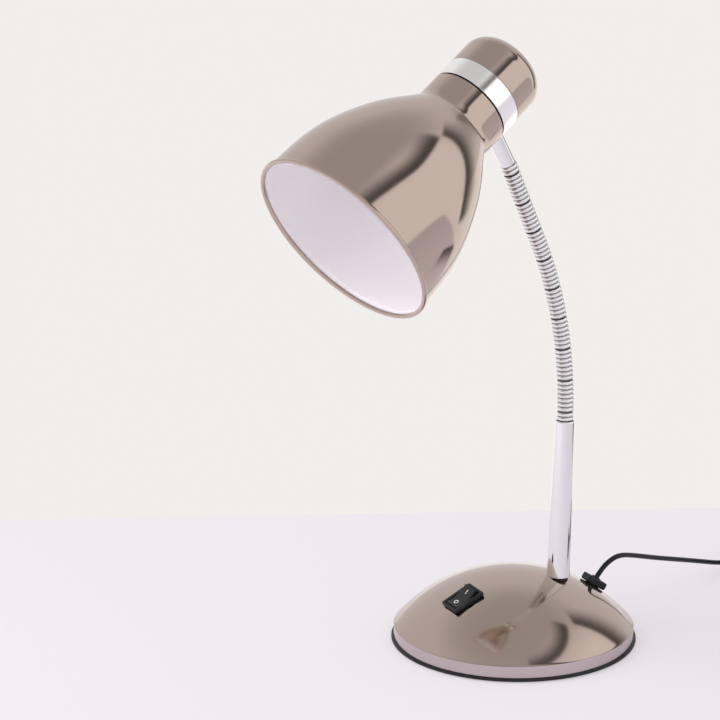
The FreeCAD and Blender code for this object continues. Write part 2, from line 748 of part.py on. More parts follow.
# ---------------------------------------------------------------- switch
def make_switch():
    face = bezel_height
    pivot = face - pivot_drop
    bezel = rounded_box(bezel_width, bezel_length, bezel_height, 1.0)
    top = [e for e in bezel.Edges if e.BoundBox.ZMin > bezel_height - 0.01]
    bezel = bezel.makeChamfer(0.45, top)
    body = rounded_box(body_width, body_length, body_depth, body_corner)
    body.translate(V(0, 0, -body_depth))
    window = Part.makeBox(window_width, window_length, window_depth + pivot_drop)
    window.translate(V(-window_width / 2, -window_length / 2, pivot - window_depth))
    snap = Part.makeBox(0.7, 3.0, 1.2, V(bezel_width / 2, -1.5, 0))
    housing = bezel.fuse(body).fuse(snap).cut(window)
    axle_length = body_width - 2 * axle_wall
    axle_hole = Part.makeCylinder(pin_radius + pin_clearance, axle_length, V(-axle_length / 2, 0, pivot), V(1, 0, 0))
    housing = housing.cut(axle_hole)
    keep("switch_housing", placed(housing, switch_seat))

    tabs = []
    for y in (-tab_pitch / 2, tab_pitch / 2):
        tab = Part.makeBox(tab_width, tab_thickness, tab_length, V(-tab_width / 2, y - tab_thickness / 2, -body_depth - tab_length))
        tabs.append(placed(tab, switch_seat))
    keep("switch_tabs", Part.makeCompound(tabs))

    half = rocker_length / 2
    end = half - 0.6
    profile = [
        line(V(0, -half, -1.0), V(0, -end, rocker_rise)),
        arc(V(0, -end, rocker_rise), V(0, 0, rocker_hollow), V(0, end, rocker_rise)),
        line(V(0, end, rocker_rise), V(0, half, -1.0)),
        line(V(0, half, -1.0), V(0, 3.0, -2.4)),
        line(V(0, 3.0, -2.4), V(0, -3.0, -2.4)),
        line(V(0, -3.0, -2.4), V(0, -half, -1.0)),
    ]
    rocker = Part.Face(Part.Wire(profile)).extrude(V(rocker_width, 0, 0))
    rocker.translate(V(-rocker_width / 2, 0, 0))
    pin_length = axle_length - 2 * pin_end_room
    rocker = rocker.fuse(Part.makeCylinder(pin_radius, pin_length, V(-pin_length / 2, 0, 0), V(1, 0, 0)))
    tilt = Placement(V(0, 0, pivot), Rotation(V(1, 0, 0), rocker_tilt))
    keep("switch_rocker", placed(rocker, switch_seat.multiply(tilt)))


# ---------------------------------------------------------------- cord and plug
def make_relief():
    flange = rounded_box(relief_width, relief_length, relief_flange, 1.2)
    flange = flange.makeFillet(0.5, [e for e in flange.Edges if e.BoundBox.ZMin > relief_flange - 0.01])
    neck = slot_block(relief_slot_length, relief_slot_width, 4.0, -4.0)
    tail = Part.makeLoft([
        slot_block(relief_slot_length + 1.6, relief_slot_width + 0.4, 0.1, -4.0).Faces[-1].OuterWire,
        slot_block(relief_slot_length - 2.6, relief_slot_width - 1.4, 0.1, -relief_depth).Faces[-1].OuterWire,
    ], True, True)
    bushing = flange.fuse(neck).fuse(tail)
    bushing = bushing.cut(disc(cord_diameter / 2, relief_flange - relief_grip, 40))
    keep("cord_bushing", placed(bushing, relief_seat))


def cord_route():
    """The free stretch, from inside the bushing to the coil."""
    out = relief_seat.Rotation.multVec(V(0, 0, 1))
    mouth = relief_seat.multVec(V(0, 0, relief_flange - relief_grip))
    return [mouth, mouth + out * cord_lead] + list(cord_way)


def coil_sides():
    """Distance from the coil's middle at each half turn's end, and its layer."""
    sides = [coil_inner + (coil_steps[0] + 1) * coil_pitch / 2]
    layers = [0]
    for layer, steps in enumerate(coil_steps):
        inward = layer % 2 == 0
        for k in range(steps):
            if layer and k == 0:
                step = coil_entry_step
            else:
                step = coil_pitch / 2
            sides.append(sides[-1] - step if inward else sides[-1] + step)
            layers.append(layer)
        if layer + 1 < len(coil_steps):
            sides.append(sides[-1] - coil_pitch / 2 if inward else sides[-1] + coil_pitch / 2)
            layers.append(layer + 1)
    return sides, layers


def make_coil(entry, heading):
    """Piled loops that spiral in and out again, one unbroken tube."""
    sides, layers = coil_sides()
    right = V(heading.y, -heading.x, 0)
    centre = entry + heading * cord_diameter + right * sides[0]
    edges = [line(entry, entry + heading * cord_diameter)]
    here = entry + heading * cord_diameter
    going = heading
    outward = right * -1
    for k in range(1, len(sides)):
        outward = outward * -1
        there = centre + outward * sides[k] + V(0, 0, layers[k] * coil_pitch)
        edges.extend(biarc(here, going, there, going * -1))
        here = there
        going = going * -1
    last = here + going * cord_diameter
    edges.append(line(here, last))
    wire = Part.Wire(edges)
    solid = tube(wire, cord_diameter / 2)
    tube_report("cord_coil", wire, solid, cord_diameter / 2)
    report_gap(wire)
    keep("cord_coil", solid)
    return centre, last, going, max(sides), min(sides), wire.Length


def report_gap(wire):
    """Least distance of the coiled tube from itself, more than a turn's share apart."""
    points = []
    along = []
    travelled = 0.0
    for edge in wire.Edges:
        count = max(2, int(edge.Length / 2.5))
        for i in range(count):
            share = edge.getParameterByLength(edge.Length * i / count)
            points.append(edge.valueAt(share))
            along.append(travelled + edge.Length * i / count)
        travelled += edge.Length
    least = min(
        points[i].distanceToPoint(points[j])
        for i in range(len(points))
        for j in range(i + 1, len(points))
        if along[j] - along[i] > 6 * cord_diameter
    )
    print(f"coil: least gap to itself {least - cord_diameter:.2f}")


def make_tie(centre, outer, inner):
    """A band round all the turns at one place."""
    room = cord_diameter / 2 + tie_clearance
    low = -room
    high = (len(coil_steps) - 1) * coil_pitch + room
    near = inner - room
    far = outer + room
    t = tie_thickness
    w = tie_width
    block = Part.makeBox(far - near + 2 * t, w, high - low + 2 * t, V(near - t, -w / 2, low - t))
    hollow = Part.makeBox(far - near, w + 2, high - low, V(near, -w / 2 - 1, low))
    band = block.cut(hollow)
    return placed(band, Placement(centre, Rotation(V(0, 0, 1), tie_angle)))


def make_plug(spot, heading):
    """Flat two-pin plug, lying on its side; the cord enters at spot."""
    side = V(-heading.y, heading.x, 0)
    frame = frame_from_axes(spot, side, V(0, 0, 1), heading)
    neck = Part.Wire(Part.Circle(V(0, 0, 0), V(0, 0, 1), cord_diameter / 2 + plug_boot_wall).toShape())
    mouth = Part.Wire(Part.Circle(V(0, 0, plug_boot_length), V(0, 0, 1), plug_boot_radius).toShape())
    boot = Part.makeLoft([neck, mouth], True, True)
    rings = []
    for way, wide, high in plug_sections:
        section = rounded_box(wide, high, 1.0, plug_corner)
        ring = [f for f in section.Faces if abs(f.CenterOfMass.z) < 1e-6][0].OuterWire
        ring.translate(V(0, 0, way))
        rings.append(ring)
    keep("plug_body", placed(boot.fuse(Part.makeLoft(rings, True, True)), frame))
    face = plug_sections[-1][0]
    pins = []
    for s in (1, -1):
        pin = disc(plug_pin_radius, face, plug_pin_length, s * plug_pin_spacing / 2)
        pin = pin.makeFillet(plug_pin_tip, edges_at(pin, face + plug_pin_length))
        pins.append(placed(pin, frame))
    keep("plug_pins", Part.makeCompound(pins))


def make_cord():
    radii = []
    points = cord_route()
    wire = rounded_wire(points, radii)
    run = tube(wire, cord_diameter / 2)
    tube_report("cord_run", wire, run, cord_diameter / 2)
    print("cord_run radii", " ".join(f"{r:.0f}" for r in radii))
    keep("cord_run", run)
    heading = V(points[-1].x - points[-2].x, points[-1].y - points[-2].y, 0).normalize()
    centre, end, going, outer, inner, coil_length = make_coil(points[-1], heading)
    keep("coil_tie", make_tie(centre, outer, inner))

    away = V(-going.y, going.x, 0)
    level = plug_height / 2 - end.z
    tail_points = [end]
    for ahead, aside, down in tail_way:
        tail_points.append(end + going * ahead + away * aside + V(0, 0, down * level))
    tail_radii = []
    tail_wire = rounded_wire(tail_points, tail_radii)
    tail = tube(tail_wire, cord_diameter / 2)
    tube_report("cord_tail", tail_wire, tail, cord_diameter / 2)
    print("cord_tail radii", " ".join(f"{r:.0f}" for r in tail_radii))
    keep("cord_tail", tail)
    make_plug(tail_points[-1], (tail_points[-1] - tail_points[-2]).normalize())
    print(f"cord: total {wire.Length + coil_length + tail_wire.Length:.0f}")


# ---------------------------------------------------------------- inside the base
def make_wiring():
    low = plate_top + ballast_height
    centre = low + block_size.z / 2
    block = Part.makeBox(block_size.x, block_size.y, block_size.z)
    block.translate(V(block_x - block_size.x / 2, block_y - block_size.y / 2, low))
    for side in (-1, 1):
        tunnel = Part.makeCylinder(1.6, 40, V(block_x + side * block_pitch / 2, 0, centre), V(0, 1, 0))
        block = block.cut(tunnel)
    keep("terminal_block", block)

    wires = []
    inward = relief_seat.Rotation.multVec(V(0, 0, -1))
    for side in (-1, 1):
        start = relief_seat.multVec(V(side * 1.3, 0, -relief_depth - slack))
        goal = V(block_x + side * block_pitch / 2, block_y + block_size.y / 2 + slack, centre)
        low_point = start + inward * 4.0
        path = [start, low_point, low_point + V(-9, -3, 1.5), goal + V(6, 13, 0), goal + V(0, 7, 0), goal]
        wires.append(tube(rounded_wire(path), wire_radius))
    live = switch_seat.multVec(V(0, tab_pitch / 2, -body_depth - tab_length - slack - 0.2))
    down = switch_seat.Rotation.multVec(V(0, 0, -1))
    goal = V(block_x + block_pitch / 2, block_y - block_size.y / 2 - slack, centre)
    path = [live, live + down * 2.6 + V(0, 0.6, 0), live + V(-7, 12, 0.6), goal + V(0, -8, 0), goal]
    wires.append(tube(rounded_wire(path), wire_radius))
    keep("base_wires", Part.makeCompound(wires))


# ---------------------------------------------------------------- frames of the sub-assemblies
stem_frame = Placement(V(stem_x, stem_y, stem_foot_z), Rotation(V(1, 0, 0), -stem_lean))
stem_top = stem_frame.multVec(V(0, 0, stem_length))
switch_frame = dome_frame(switch_x, switch_y, switch_turn)
switch_seat = switch_frame.multiply(Placement(V(0, 0, -sag(dome_radius, body_width / 2)), Rotation()))
relief_frame = dome_frame(relief_x, relief_y)
relief_seat = relief_frame.multiply(Placement(V(0, 0, -sag(dome_radius, relief_slot_width / 2)), Rotation()))
goose_end, _ = path_at(goose_length)
stub_frame = Placement(goose_end, Rotation(V(1, 0, 0), stub_tilt))
axis_point = stub_frame.multVec(V(0, 0, stub_reach))
head_axis = V(0, cos(radians(head_dip)), sin(radians(head_dip)))
head_origin = axis_point - head_axis * head_station
head_frame = frame_from_axes(head_origin, V(1, 0, 0), head_axis.cross(V(1, 0, 0)), head_axis)

make_base()
make_stem()
make_gooseneck()
make_shade()
make_ring_and_cap()
make_holder()
make_bulb()
make_stub()
make_switch()
make_relief()
make_cord()
make_wiring()

for name, shape in shapes.items():
    shape.exportStep(f"parts/{name}.step")
print(len(shapes), "nodes; rim centre", head_origin, "gooseneck end", goose_end)
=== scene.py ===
"""Looks of a desk lamp with a bell-shaped metal shade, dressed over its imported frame.

Profiles are written in millimetres and made in metres. +Z is up, and the head looks along -Y.
"""

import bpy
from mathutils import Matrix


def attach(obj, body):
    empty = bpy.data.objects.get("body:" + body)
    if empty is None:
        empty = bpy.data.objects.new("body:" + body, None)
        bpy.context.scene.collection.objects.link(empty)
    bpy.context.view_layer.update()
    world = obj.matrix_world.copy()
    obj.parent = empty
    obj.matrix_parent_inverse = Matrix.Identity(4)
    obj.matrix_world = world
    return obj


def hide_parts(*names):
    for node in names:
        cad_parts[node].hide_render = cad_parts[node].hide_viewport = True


bl_info = {
    "name": "Gooseneck Desk Lamp",
    "version": (1, 0, 0),
    "blender": (4, 5, 0),
    "location": "View3D > Sidebar > Desk Lamp",
    "description": "Dresses the frame of a gooseneck desk lamp and lights it in a small studio",
    "category": "Object",
}

from math import atan2, cos, degrees, pi, radians, sin, sqrt

import bmesh
import bpy
from mathutils import Matrix, Vector

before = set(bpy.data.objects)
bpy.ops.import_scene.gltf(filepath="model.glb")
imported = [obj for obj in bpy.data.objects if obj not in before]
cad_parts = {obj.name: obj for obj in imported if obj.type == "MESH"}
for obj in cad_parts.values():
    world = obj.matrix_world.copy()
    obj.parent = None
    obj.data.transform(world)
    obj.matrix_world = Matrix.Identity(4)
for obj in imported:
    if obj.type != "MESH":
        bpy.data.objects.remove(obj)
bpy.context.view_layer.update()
MM = 0.001

# ---------------------------------------------------------------- places
HEAD_DIP = radians(34.2)
HEAD_AXIS = Vector((0, cos(HEAD_DIP), sin(HEAD_DIP)))
HEAD_ORIGIN = Vector((16.5, -138.18, 256.48))
STEM_FOOT = Vector((16.5, 19.2, 37.5))
STEM_LEAN = radians(2.2)
STEM_LENGTH = 91.8
DOME_RADIUS = 90.636
DOME_CENTRE = Vector((0, 0, 40.5 - 90.636))
BEND_RADIUS = 219.0
BEND_TURN = radians(28.7)
NECK_LENGTH = BEND_RADIUS * BEND_TURN + 51.2
SEATS = [5.4 + 18.75 * i for i in range(9)]
SEAT_GAP = 0.47
BALL = 3.8
SOCKET = 3.95
NECK_BORE = 2.4
GROOVE = 4.33
SLIT = 0.22
STUB_TILT = radians(31.0)


def placing(origin, x_axis, y_axis, z_axis):
    """Matrix from a piece's own millimetres to the lamp's metres."""
    turn = Matrix((x_axis, y_axis, z_axis)).transposed().to_4x4()
    return Matrix.Scale(MM, 4) @ Matrix.Translation(origin) @ turn


def leaning(origin, tilt):
    """Frame at a place in the neck's plane, leaning forward by tilt."""
    return Matrix.Scale(MM, 4) @ Matrix.Translation(origin) @ Matrix.Rotation(tilt, 4, "X")


def on_dome(x, y, seat_reach, turn=0.0):
    """Frame on the dome: z out of it, y up the slope, turned about z."""
    z = DOME_CENTRE.z + sqrt(DOME_RADIUS**2 - x * x - y * y)
    normal = (Vector((x, y, z)) - DOME_CENTRE).normalized()
    up = (Vector((0, 0, 1)) - normal * normal.z).normalized()
    side = up.cross(normal)
    sag = DOME_RADIUS - sqrt(DOME_RADIUS**2 - seat_reach**2)
    return placing(Vector((x, y, z)) - normal * sag, side, up, normal) @ Matrix.Rotation(-turn, 4, "Z")


HEAD = placing(HEAD_ORIGIN, Vector((1, 0, 0)), HEAD_AXIS.cross(Vector((1, 0, 0))), HEAD_AXIS)
STEM = leaning(STEM_FOOT, -STEM_LEAN)
SWITCH = on_dome(-1.0, -38.0, 6.4, radians(9.0))
RELIEF = on_dome(15.0, 48.5, 3.1)
BASE = Matrix.Scale(MM, 4)


def neck_place(s):
    """Frame on the gooseneck's middle line at s millimetres from the stem's top."""
    top = STEM_FOOT + Matrix.Rotation(-STEM_LEAN, 3, "X") @ Vector((0, 0, STEM_LENGTH))
    turned = min(max(s, 0.0), BEND_RADIUS * BEND_TURN)
    tilt = turned / BEND_RADIUS - STEM_LEAN
    spot = Vector((0, BEND_RADIUS * (cos(tilt) - cos(STEM_LEAN)), BEND_RADIUS * (sin(tilt) + sin(STEM_LEAN))))
    return leaning(top + spot + Vector((0, -sin(tilt), cos(tilt))) * (s - turned), tilt)


STUB = leaning(neck_place(NECK_LENGTH).to_translation() / MM, STUB_TILT)


# ---------------------------------------------------------------- mesh tools
def trace(bm, start, moves):
    """Draw a profile in the XZ plane: (r, z) is a straight move, (centre r, centre z, degrees, steps) an arc."""
    end = bm.verts.new((start[0], 0, start[1]))
    for move in moves:
        if len(move) == 2:
            new = bmesh.ops.extrude_vert_indiv(bm, verts=[end])["verts"][0]
            new.co = Vector((move[0], 0, move[1]))
        else:
            made = bmesh.ops.spin(
                bm, geom=[end], cent=(move[0], 0, move[1]), axis=(0, -1, 0), angle=radians(move[2]), steps=move[3])
            new = [v for v in made["geom_last"] if isinstance(v, bmesh.types.BMVert)][0]
        end = new
    return end


def lathe(start, moves, steps=96):
    """Profile turned once round its Z axis. Returns the bmesh."""
    bm = bmesh.new()
    trace(bm, start, moves)
    bmesh.ops.remove_doubles(bm, verts=bm.verts, dist=0.0005)
    bmesh.ops.spin(bm, geom=bm.verts[:] + bm.edges[:], cent=(0, 0, 0), axis=(0, 0, 1), angle=2 * pi,
                   steps=steps, use_merge=True)
    bmesh.ops.remove_doubles(bm, verts=bm.verts, dist=0.0008)
    bmesh.ops.recalc_face_normals(bm, faces=bm.faces)
    return bm


def block(size, place=(0, 0, 0), bevel=0.0, segments=3):
    """A box centred on a place, with all its edges rounded."""
    bm = bmesh.new()
    bmesh.ops.create_cube(bm, size=1.0)
    bmesh.ops.scale(bm, vec=size, verts=bm.verts)
    bmesh.ops.translate(bm, vec=place, verts=bm.verts)
    if bevel:
        bmesh.ops.bevel(
            bm, geom=bm.edges[:], offset=bevel, segments=segments, affect="EDGES", profile=0.5, material=-1)
    return bm


def join_into(bm, other):
    """Add another bmesh's faces to this one."""
    mesh = bpy.data.meshes.new("part")
    other.to_mesh(mesh)
    other.free()
    bm.from_mesh(mesh)
    bpy.data.meshes.remove(mesh)
    return bm


def finish_piece(name, bm, place, materials, body, replaced=(), sharp=35.0, level=0):
    """Put a bmesh in the lamp's metres as an object that rides on a body."""
    bm.transform(place)
    limit = radians(sharp)
    for edge in bm.edges:
        edge.smooth = not (len(edge.link_faces) == 2 and edge.calc_face_angle(0.0) > limit)
    for face in bm.faces:
        face.smooth = True
    mesh = bpy.data.meshes.new(name)
    bm.to_mesh(mesh)
    bm.free()
    for material in materials:
        mesh.materials.append(material)
    piece = bpy.data.objects.new(name, mesh)
    bpy.context.scene.collection.objects.link(piece)
    if level:
        rounder = piece.modifiers.new("Round", "SUBSURF")
        rounder.levels = level
        rounder.render_levels = level
    else:
        normals = piece.modifiers.new("Even normals", "WEIGHTED_NORMAL")
        normals.keep_sharp = True
    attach(piece, body)
    if replaced:
        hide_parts(*replaced)
    return piece


def dress(node, material):
    """Give a carried-over frame node its material."""
    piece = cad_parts[node]
    piece.data.materials.clear()
    piece.data.materials.append(material)


# ---------------------------------------------------------------- material tools
def group_of(name, inputs, outputs):
    tree = bpy.data.node_groups.new(name, "ShaderNodeTree")
    for label, value in inputs:
        socket = tree.interface.new_socket(label, in_out="INPUT", socket_type="NodeSocketFloat")
        socket.default_value = value
    for label, kind in outputs:
        tree.interface.new_socket(label, in_out="OUTPUT", socket_type=kind)
    return tree, tree.nodes.new("NodeGroupInput"), tree.nodes.new("NodeGroupOutput")


def node(tree, kind, feeds=None, **settings):
    """Add a shader node. feeds gives an input its value, or the output that it is linked to."""
    made = tree.nodes.new(kind)
    for key, value in settings.items():
        setattr(made, key, value)
    for key, value in (feeds or {}).items():
        if isinstance(value, bpy.types.NodeSocket):
            tree.links.new(value, made.inputs[key])
        else:
            made.inputs[key].default_value = value
    return made


def calc(tree, operation, *values):
    """Output of a Math node that works on numbers or other outputs."""
    return node(tree, "ShaderNodeMath", dict(enumerate(values)), operation=operation).outputs[0]


def ramp(tree, value, low, high, to_low=0.0, to_high=1.0, smooth=False):
    """A value moved from one range to another and held at both ends."""
    feeds = {"Value": value, "From Min": low, "From Max": high, "To Min": to_low, "To Max": to_high}
    kind = "SMOOTHSTEP" if smooth else "LINEAR"
    return node(tree, "ShaderNodeMapRange", feeds, interpolation_type=kind).outputs["Result"]


def mixed(tree, share, first, second):
    """Two shaders mixed by the share of the second."""
    return node(tree, "ShaderNodeMixShader", {0: share, 1: first.outputs[0], 2: second.outputs[0]})


def emptied(made):
    """Node tree of a new material or world, with nothing in it."""
    made.use_nodes = True
    made.node_tree.nodes.clear()
    return made.node_tree


def surface_group():
    """Haze, fine grain and faint dust, from the piece's own coordinates."""
    tree, given, result = group_of(
        "Surface Character",
        [("Haze Scale", 30.0), ("Haze", 0.03), ("Roughness", 0.2), ("Grain Scale", 900.0), ("Grain", 0.1),
         ("Dust", 0.0)],
        [("Roughness", "NodeSocketFloat"), ("Height", "NodeSocketFloat"), ("Dust", "NodeSocketFloat")])
    given = given.outputs
    place = node(tree, "ShaderNodeTexCoord").outputs["Object"]
    haze = node(tree, "ShaderNodeTexNoise", {"Vector": place, "Scale": given["Haze Scale"], "Detail": 4.0})
    centred = calc(tree, "SUBTRACT", haze.outputs["Fac"], 0.5)
    grain = node(tree, "ShaderNodeTexNoise", {"Vector": place, "Scale": given["Grain Scale"], "Detail": 3.0})
    specks = node(tree, "ShaderNodeTexNoise", {"Vector": place, "Scale": 420.0, "Detail": 2.0})
    kept = ramp(tree, specks.outputs["Fac"], 0.62, 0.78)
    for label, value in (("Roughness", calc(tree, "MULTIPLY_ADD", centred, given["Haze"], given["Roughness"])),
                         ("Height", calc(tree, "MULTIPLY", grain.outputs["Fac"], given["Grain"])),
                         ("Dust", calc(tree, "MULTIPLY", kept, given["Dust"]))):
        tree.links.new(value, result.inputs[label])
    return tree


def finish(name, color, metallic, roughness, haze=0.03, haze_scale=30.0, grain=0.1, grain_scale=900.0,
           dust=0.0, bump=0.1, coat=0.0, specular=0.5):
    """A finish whose roughness, grain and dust come from the shared surface group."""
    made = bpy.data.materials.new(name)
    tree = emptied(made)
    shared = node(tree, "ShaderNodeGroup", {
        "Haze Scale": haze_scale, "Haze": haze, "Roughness": roughness, "Grain Scale": grain_scale, "Grain": grain,
        "Dust": dust}, node_tree=bpy.data.node_groups.get("Surface Character") or surface_group())
    dusty = [min(1.0, c * 0.7 + 0.22) for c in color]
    mix = node(tree, "ShaderNodeMix", {0: shared.outputs["Dust"], 6: (*color, 1), 7: (*dusty, 1)}, data_type="RGBA")
    lift = node(tree, "ShaderNodeBump", {"Strength": bump, "Distance": 0.0002, "Height": shared.outputs["Height"]})
    shader = node(tree, "ShaderNodeBsdfPrincipled", {
        "Roughness": shared.outputs["Roughness"], "Base Color": mix.outputs[2], "Normal": lift.outputs[0],
        "Metallic": metallic, "Coat Weight": coat, "Coat Roughness": 0.08, "Specular IOR Level": specular})
    node(tree, "ShaderNodeOutputMaterial", {"Surface": shader.outputs[0]})
    return made


MATERIALS = {}


def material(name):
    """The named finish, made when it is first asked for."""
    if name not in MATERIALS:
        colors = bpy.context.scene.lamp_colors
        recipes = {
            "gunmetal": dict(color=colors.gunmetal, metallic=1.0, roughness=0.11, haze=0.03, dust=0.04, bump=0.02),
            # The skirt's plating is the dome's plating made lighter and lilac: painted reflection of the pale table.
            "skirt_plating_painted_reflection": dict(color=colors.band, metallic=1.0, roughness=0.2, haze=0.03, dust=0.04, bump=0.02),
            "silver": dict(color=colors.silver, metallic=1.0, roughness=0.16, haze=0.04, dust=0.02, bump=0.03),
            "chrome": dict(color=colors.chrome, metallic=1.0, roughness=0.06, haze=0.03, dust=0.03, bump=0.01),
            # Darker, rougher copy of the chrome for the gooseneck's grooves and seat balls: painted shade in the
            # creases.
            "chrome_groove_painted_shade": dict(color=(0.16, 0.155, 0.15), metallic=1.0, roughness=0.35, haze=0.1),
            "shade_white": dict(color=colors.shade_inside, metallic=0.0, roughness=0.42, haze=0.05, grain=0.3,
                                grain_scale=1600.0, bump=0.08, specular=0.4),
            "black_plastic": dict(color=(0.009, 0.009, 0.010), metallic=0.0, roughness=0.42, specular=0.3, haze=0.08,
                                  grain=0.6, grain_scale=2200.0, bump=0.25, dust=0.05),
            "black_gloss": dict(color=(0.009, 0.009, 0.011), metallic=0.0, roughness=0.24, specular=0.35, haze=0.06,
                                grain=0.3, grain_scale=1800.0, bump=0.1, dust=0.04),
            "foam": dict(color=(0.03, 0.03, 0.032), metallic=0.0, roughness=0.9, grain=1.0, grain_scale=1500.0,
                         bump=0.9),
            "print_white": dict(color=(0.82, 0.82, 0.84), metallic=0.0, roughness=0.5),
            "zinc": dict(color=(0.62, 0.63, 0.65), metallic=1.0, roughness=0.35, haze=0.2, haze_scale=90.0),
            "iron": dict(color=(0.09, 0.085, 0.08), metallic=0.6, roughness=0.75, haze=0.2, grain=1.0,
                         grain_scale=500.0, bump=0.8),
            "brass": dict(color=(0.72, 0.52, 0.24), metallic=1.0, roughness=0.28, haze=0.15, haze_scale=80.0),
            "porcelain": dict(color=(0.86, 0.85, 0.83), metallic=0.0, roughness=0.3, coat=0.3),
            "sheath": dict(color=(0.007, 0.007, 0.008), metallic=0.0, roughness=0.34, specular=0.25, haze=0.08,
                           grain=0.5, grain_scale=2600.0, bump=0.2, dust=0.05),
            "wire": dict(color=(0.8, 0.8, 0.78), metallic=0.0, roughness=0.4),
            "opal": dict(color=(0.93, 0.93, 0.92), metallic=0.0, roughness=0.18, haze=0.04, coat=0.4),
            "aluminium": dict(color=(0.8, 0.8, 0.8), metallic=1.0, roughness=0.3, haze=0.15, haze_scale=70.0),
            "pin_nickel": dict(color=(0.74, 0.72, 0.68), metallic=1.0, roughness=0.22, haze=0.12, haze_scale=90.0),
        }
        MATERIALS[name] = finish(name, **recipes[name])
    return MATERIALS[name]


# ---------------------------------------------------------------- properties
class LampSizes(bpy.types.PropertyGroup):
    rim_radius: bpy.props.FloatProperty(
        name="Rim radius", description="Outer radius of the shade at its open end", default=0.0534, unit="LENGTH")
    neck_radius: bpy.props.FloatProperty(
        name="Neck radius", description="Outer radius of the shade's neck, the band and the cap", default=0.0233,
        unit="LENGTH")
    head_length: bpy.props.FloatProperty(
        name="Head length", description="From the shade's rim to the end of the cap", default=0.141, unit="LENGTH")
    base_radius: bpy.props.FloatProperty(
        name="Base radius", description="Radius of the metal dome at its skirt", default=0.0686, unit="LENGTH")
    neck_tube_radius: bpy.props.FloatProperty(
        name="Gooseneck radius", description="Radius over the gooseneck's bands", default=0.00495, unit="LENGTH")
    cord_diameter: bpy.props.FloatProperty(
        name="Cord diameter", description="Diameter of the mains lead", default=0.003, unit="LENGTH")
    cord_length: bpy.props.FloatProperty(
        name="Cord length", description="Length of the mains lead", default=1.81, unit="LENGTH")
    rocker_tilt: bpy.props.FloatProperty(
        name="Rocker tilt", description="Tilt of the rocker at rest", default=radians(10.0), subtype="ANGLE")


class LampColors(bpy.types.PropertyGroup):
    gunmetal: bpy.props.FloatVectorProperty(
        name="Plating", description="Dark polished plating of the shade, cap and base", default=(0.48, 0.395, 0.345),
        subtype="COLOR", min=0.0, max=1.0)
    # Skirt colour: the dome's plating, lightened and tinted lilac as painted reflection of the table.
    band: bpy.props.FloatVectorProperty(
        name="Skirt", description="Plating of the base's upright skirt", default=(0.52, 0.455, 0.465),
        subtype="COLOR", min=0.0, max=1.0)
    silver: bpy.props.FloatVectorProperty(
        name="Band", description="Bright band behind the shade's neck", default=(0.95, 0.945, 0.945),
        subtype="COLOR", min=0.0, max=1.0)
    chrome: bpy.props.FloatVectorProperty(
        name="Chrome", description="Stem and gooseneck", default=(0.78, 0.78, 0.79), subtype="COLOR", min=0.0, max=1.0)
    shade_inside: bpy.props.FloatVectorProperty(
        name="Shade inside", description="Satin paint inside the shade", default=(0.93, 0.905, 0.925),
        subtype="COLOR", min=0.0, max=1.0)
    table: bpy.props.FloatVectorProperty(
        name="Table", description="Table top", default=(0.87, 0.83, 0.875), subtype="COLOR", min=0.0, max=1.0)
    table_seen: bpy.props.FloatVectorProperty(
        name="Table glow", description="Even part of the table's look", default=(0.835, 0.795, 0.83),
        subtype="COLOR", min=0.0, max=1.0)
    wall: bpy.props.FloatVectorProperty(
        name="Wall", description="Backdrop beyond the table", default=(0.885, 0.855, 0.83),
        subtype="COLOR", min=0.0, max=1.0)


# ---------------------------------------------------------------- stage
class LAMP_OT_camera(bpy.types.Operator):
    """Stand the camera where the lamp is seen from."""
    bl_idname = "lamp.camera"
    bl_label = "Camera"

    def execute(self, context):
        data = bpy.data.cameras.new("Camera")
        data.lens = 130.0
        data.sensor_width = 36.0
        data.clip_end = 20.0
        camera = bpy.data.objects.new("Camera", data)
        context.scene.collection.objects.link(camera)
        right = Vector((0.64403, 0.76497, -0.00607))
        up = Vector((-0.19603, 0.17269, 0.96527))
        back = Vector((0.73946, -0.62048, 0.26118))
        turn = Matrix((right, up, back)).transposed().to_4x4()
        camera.matrix_world = Matrix.Translation((1.01579, -0.96576, 0.54385)) @ turn
        context.scene.camera = camera
        return {"FINISHED"}


def soft_light(name, place, target, size, power, color=(1, 1, 1), size_y=None):
    data = bpy.data.lights.new(name, "AREA")
    data.shape = "RECTANGLE"
    data.size = size
    data.size_y = size_y or size
    data.energy = power
    data.color = color
    light = bpy.data.objects.new(name, data)
    bpy.context.scene.collection.objects.link(light)
    aim = (Vector(target) - Vector(place)).to_track_quat("-Z", "Y").to_matrix().to_4x4()
    light.matrix_world = Matrix.Translation(place) @ aim
    return light


TABLE_TURN = radians(-52.0)
TABLE_EDGE = (0.2262, 0.2275)
TABLE_GLOW = 0.6
LAMP_MIDDLE = (0.03, -0.05)
PALE_PANEL = (0.87, 0.46, 0.17)


def floor_material(colors):
    """Table and wall colours, split along the table's far edge; the wall glows evenly, the table takes shadows."""
    made = bpy.data.materials.new("table_top")
    tree = emptied(made)
    where = node(tree, "ShaderNodeTexCoord")
    turned = node(tree, "ShaderNodeMapping", {"Vector": where.outputs["Object"], "Rotation": (0, 0, TABLE_TURN)},
                  vector_type="POINT")
    apart = node(tree, "ShaderNodeSeparateXYZ", {0: turned.outputs[0]})
    path = node(tree, "ShaderNodeLightPath").outputs
    surface = node(tree, "ShaderNodeBsdfDiffuse", {"Color": (*colors.table, 1)})
    evened = node(tree, "ShaderNodeEmission", {"Color": (*colors.table_seen, 1)})
    table = mixed(tree, calc(tree, "MULTIPLY", path["Is Camera Ray"], TABLE_GLOW), surface, evened)
    level = calc(tree, "MULTIPLY_ADD", path["Is Glossy Ray"], 0.28, 1.0)
    wall = node(tree, "ShaderNodeEmission", {"Color": (*colors.wall, 1), "Strength": level})
    both = mixed(tree, ramp(tree, apart.outputs["Y"], *TABLE_EDGE), table, wall)
    node(tree, "ShaderNodeOutputMaterial", {"Surface": both.outputs[0]})
    return made


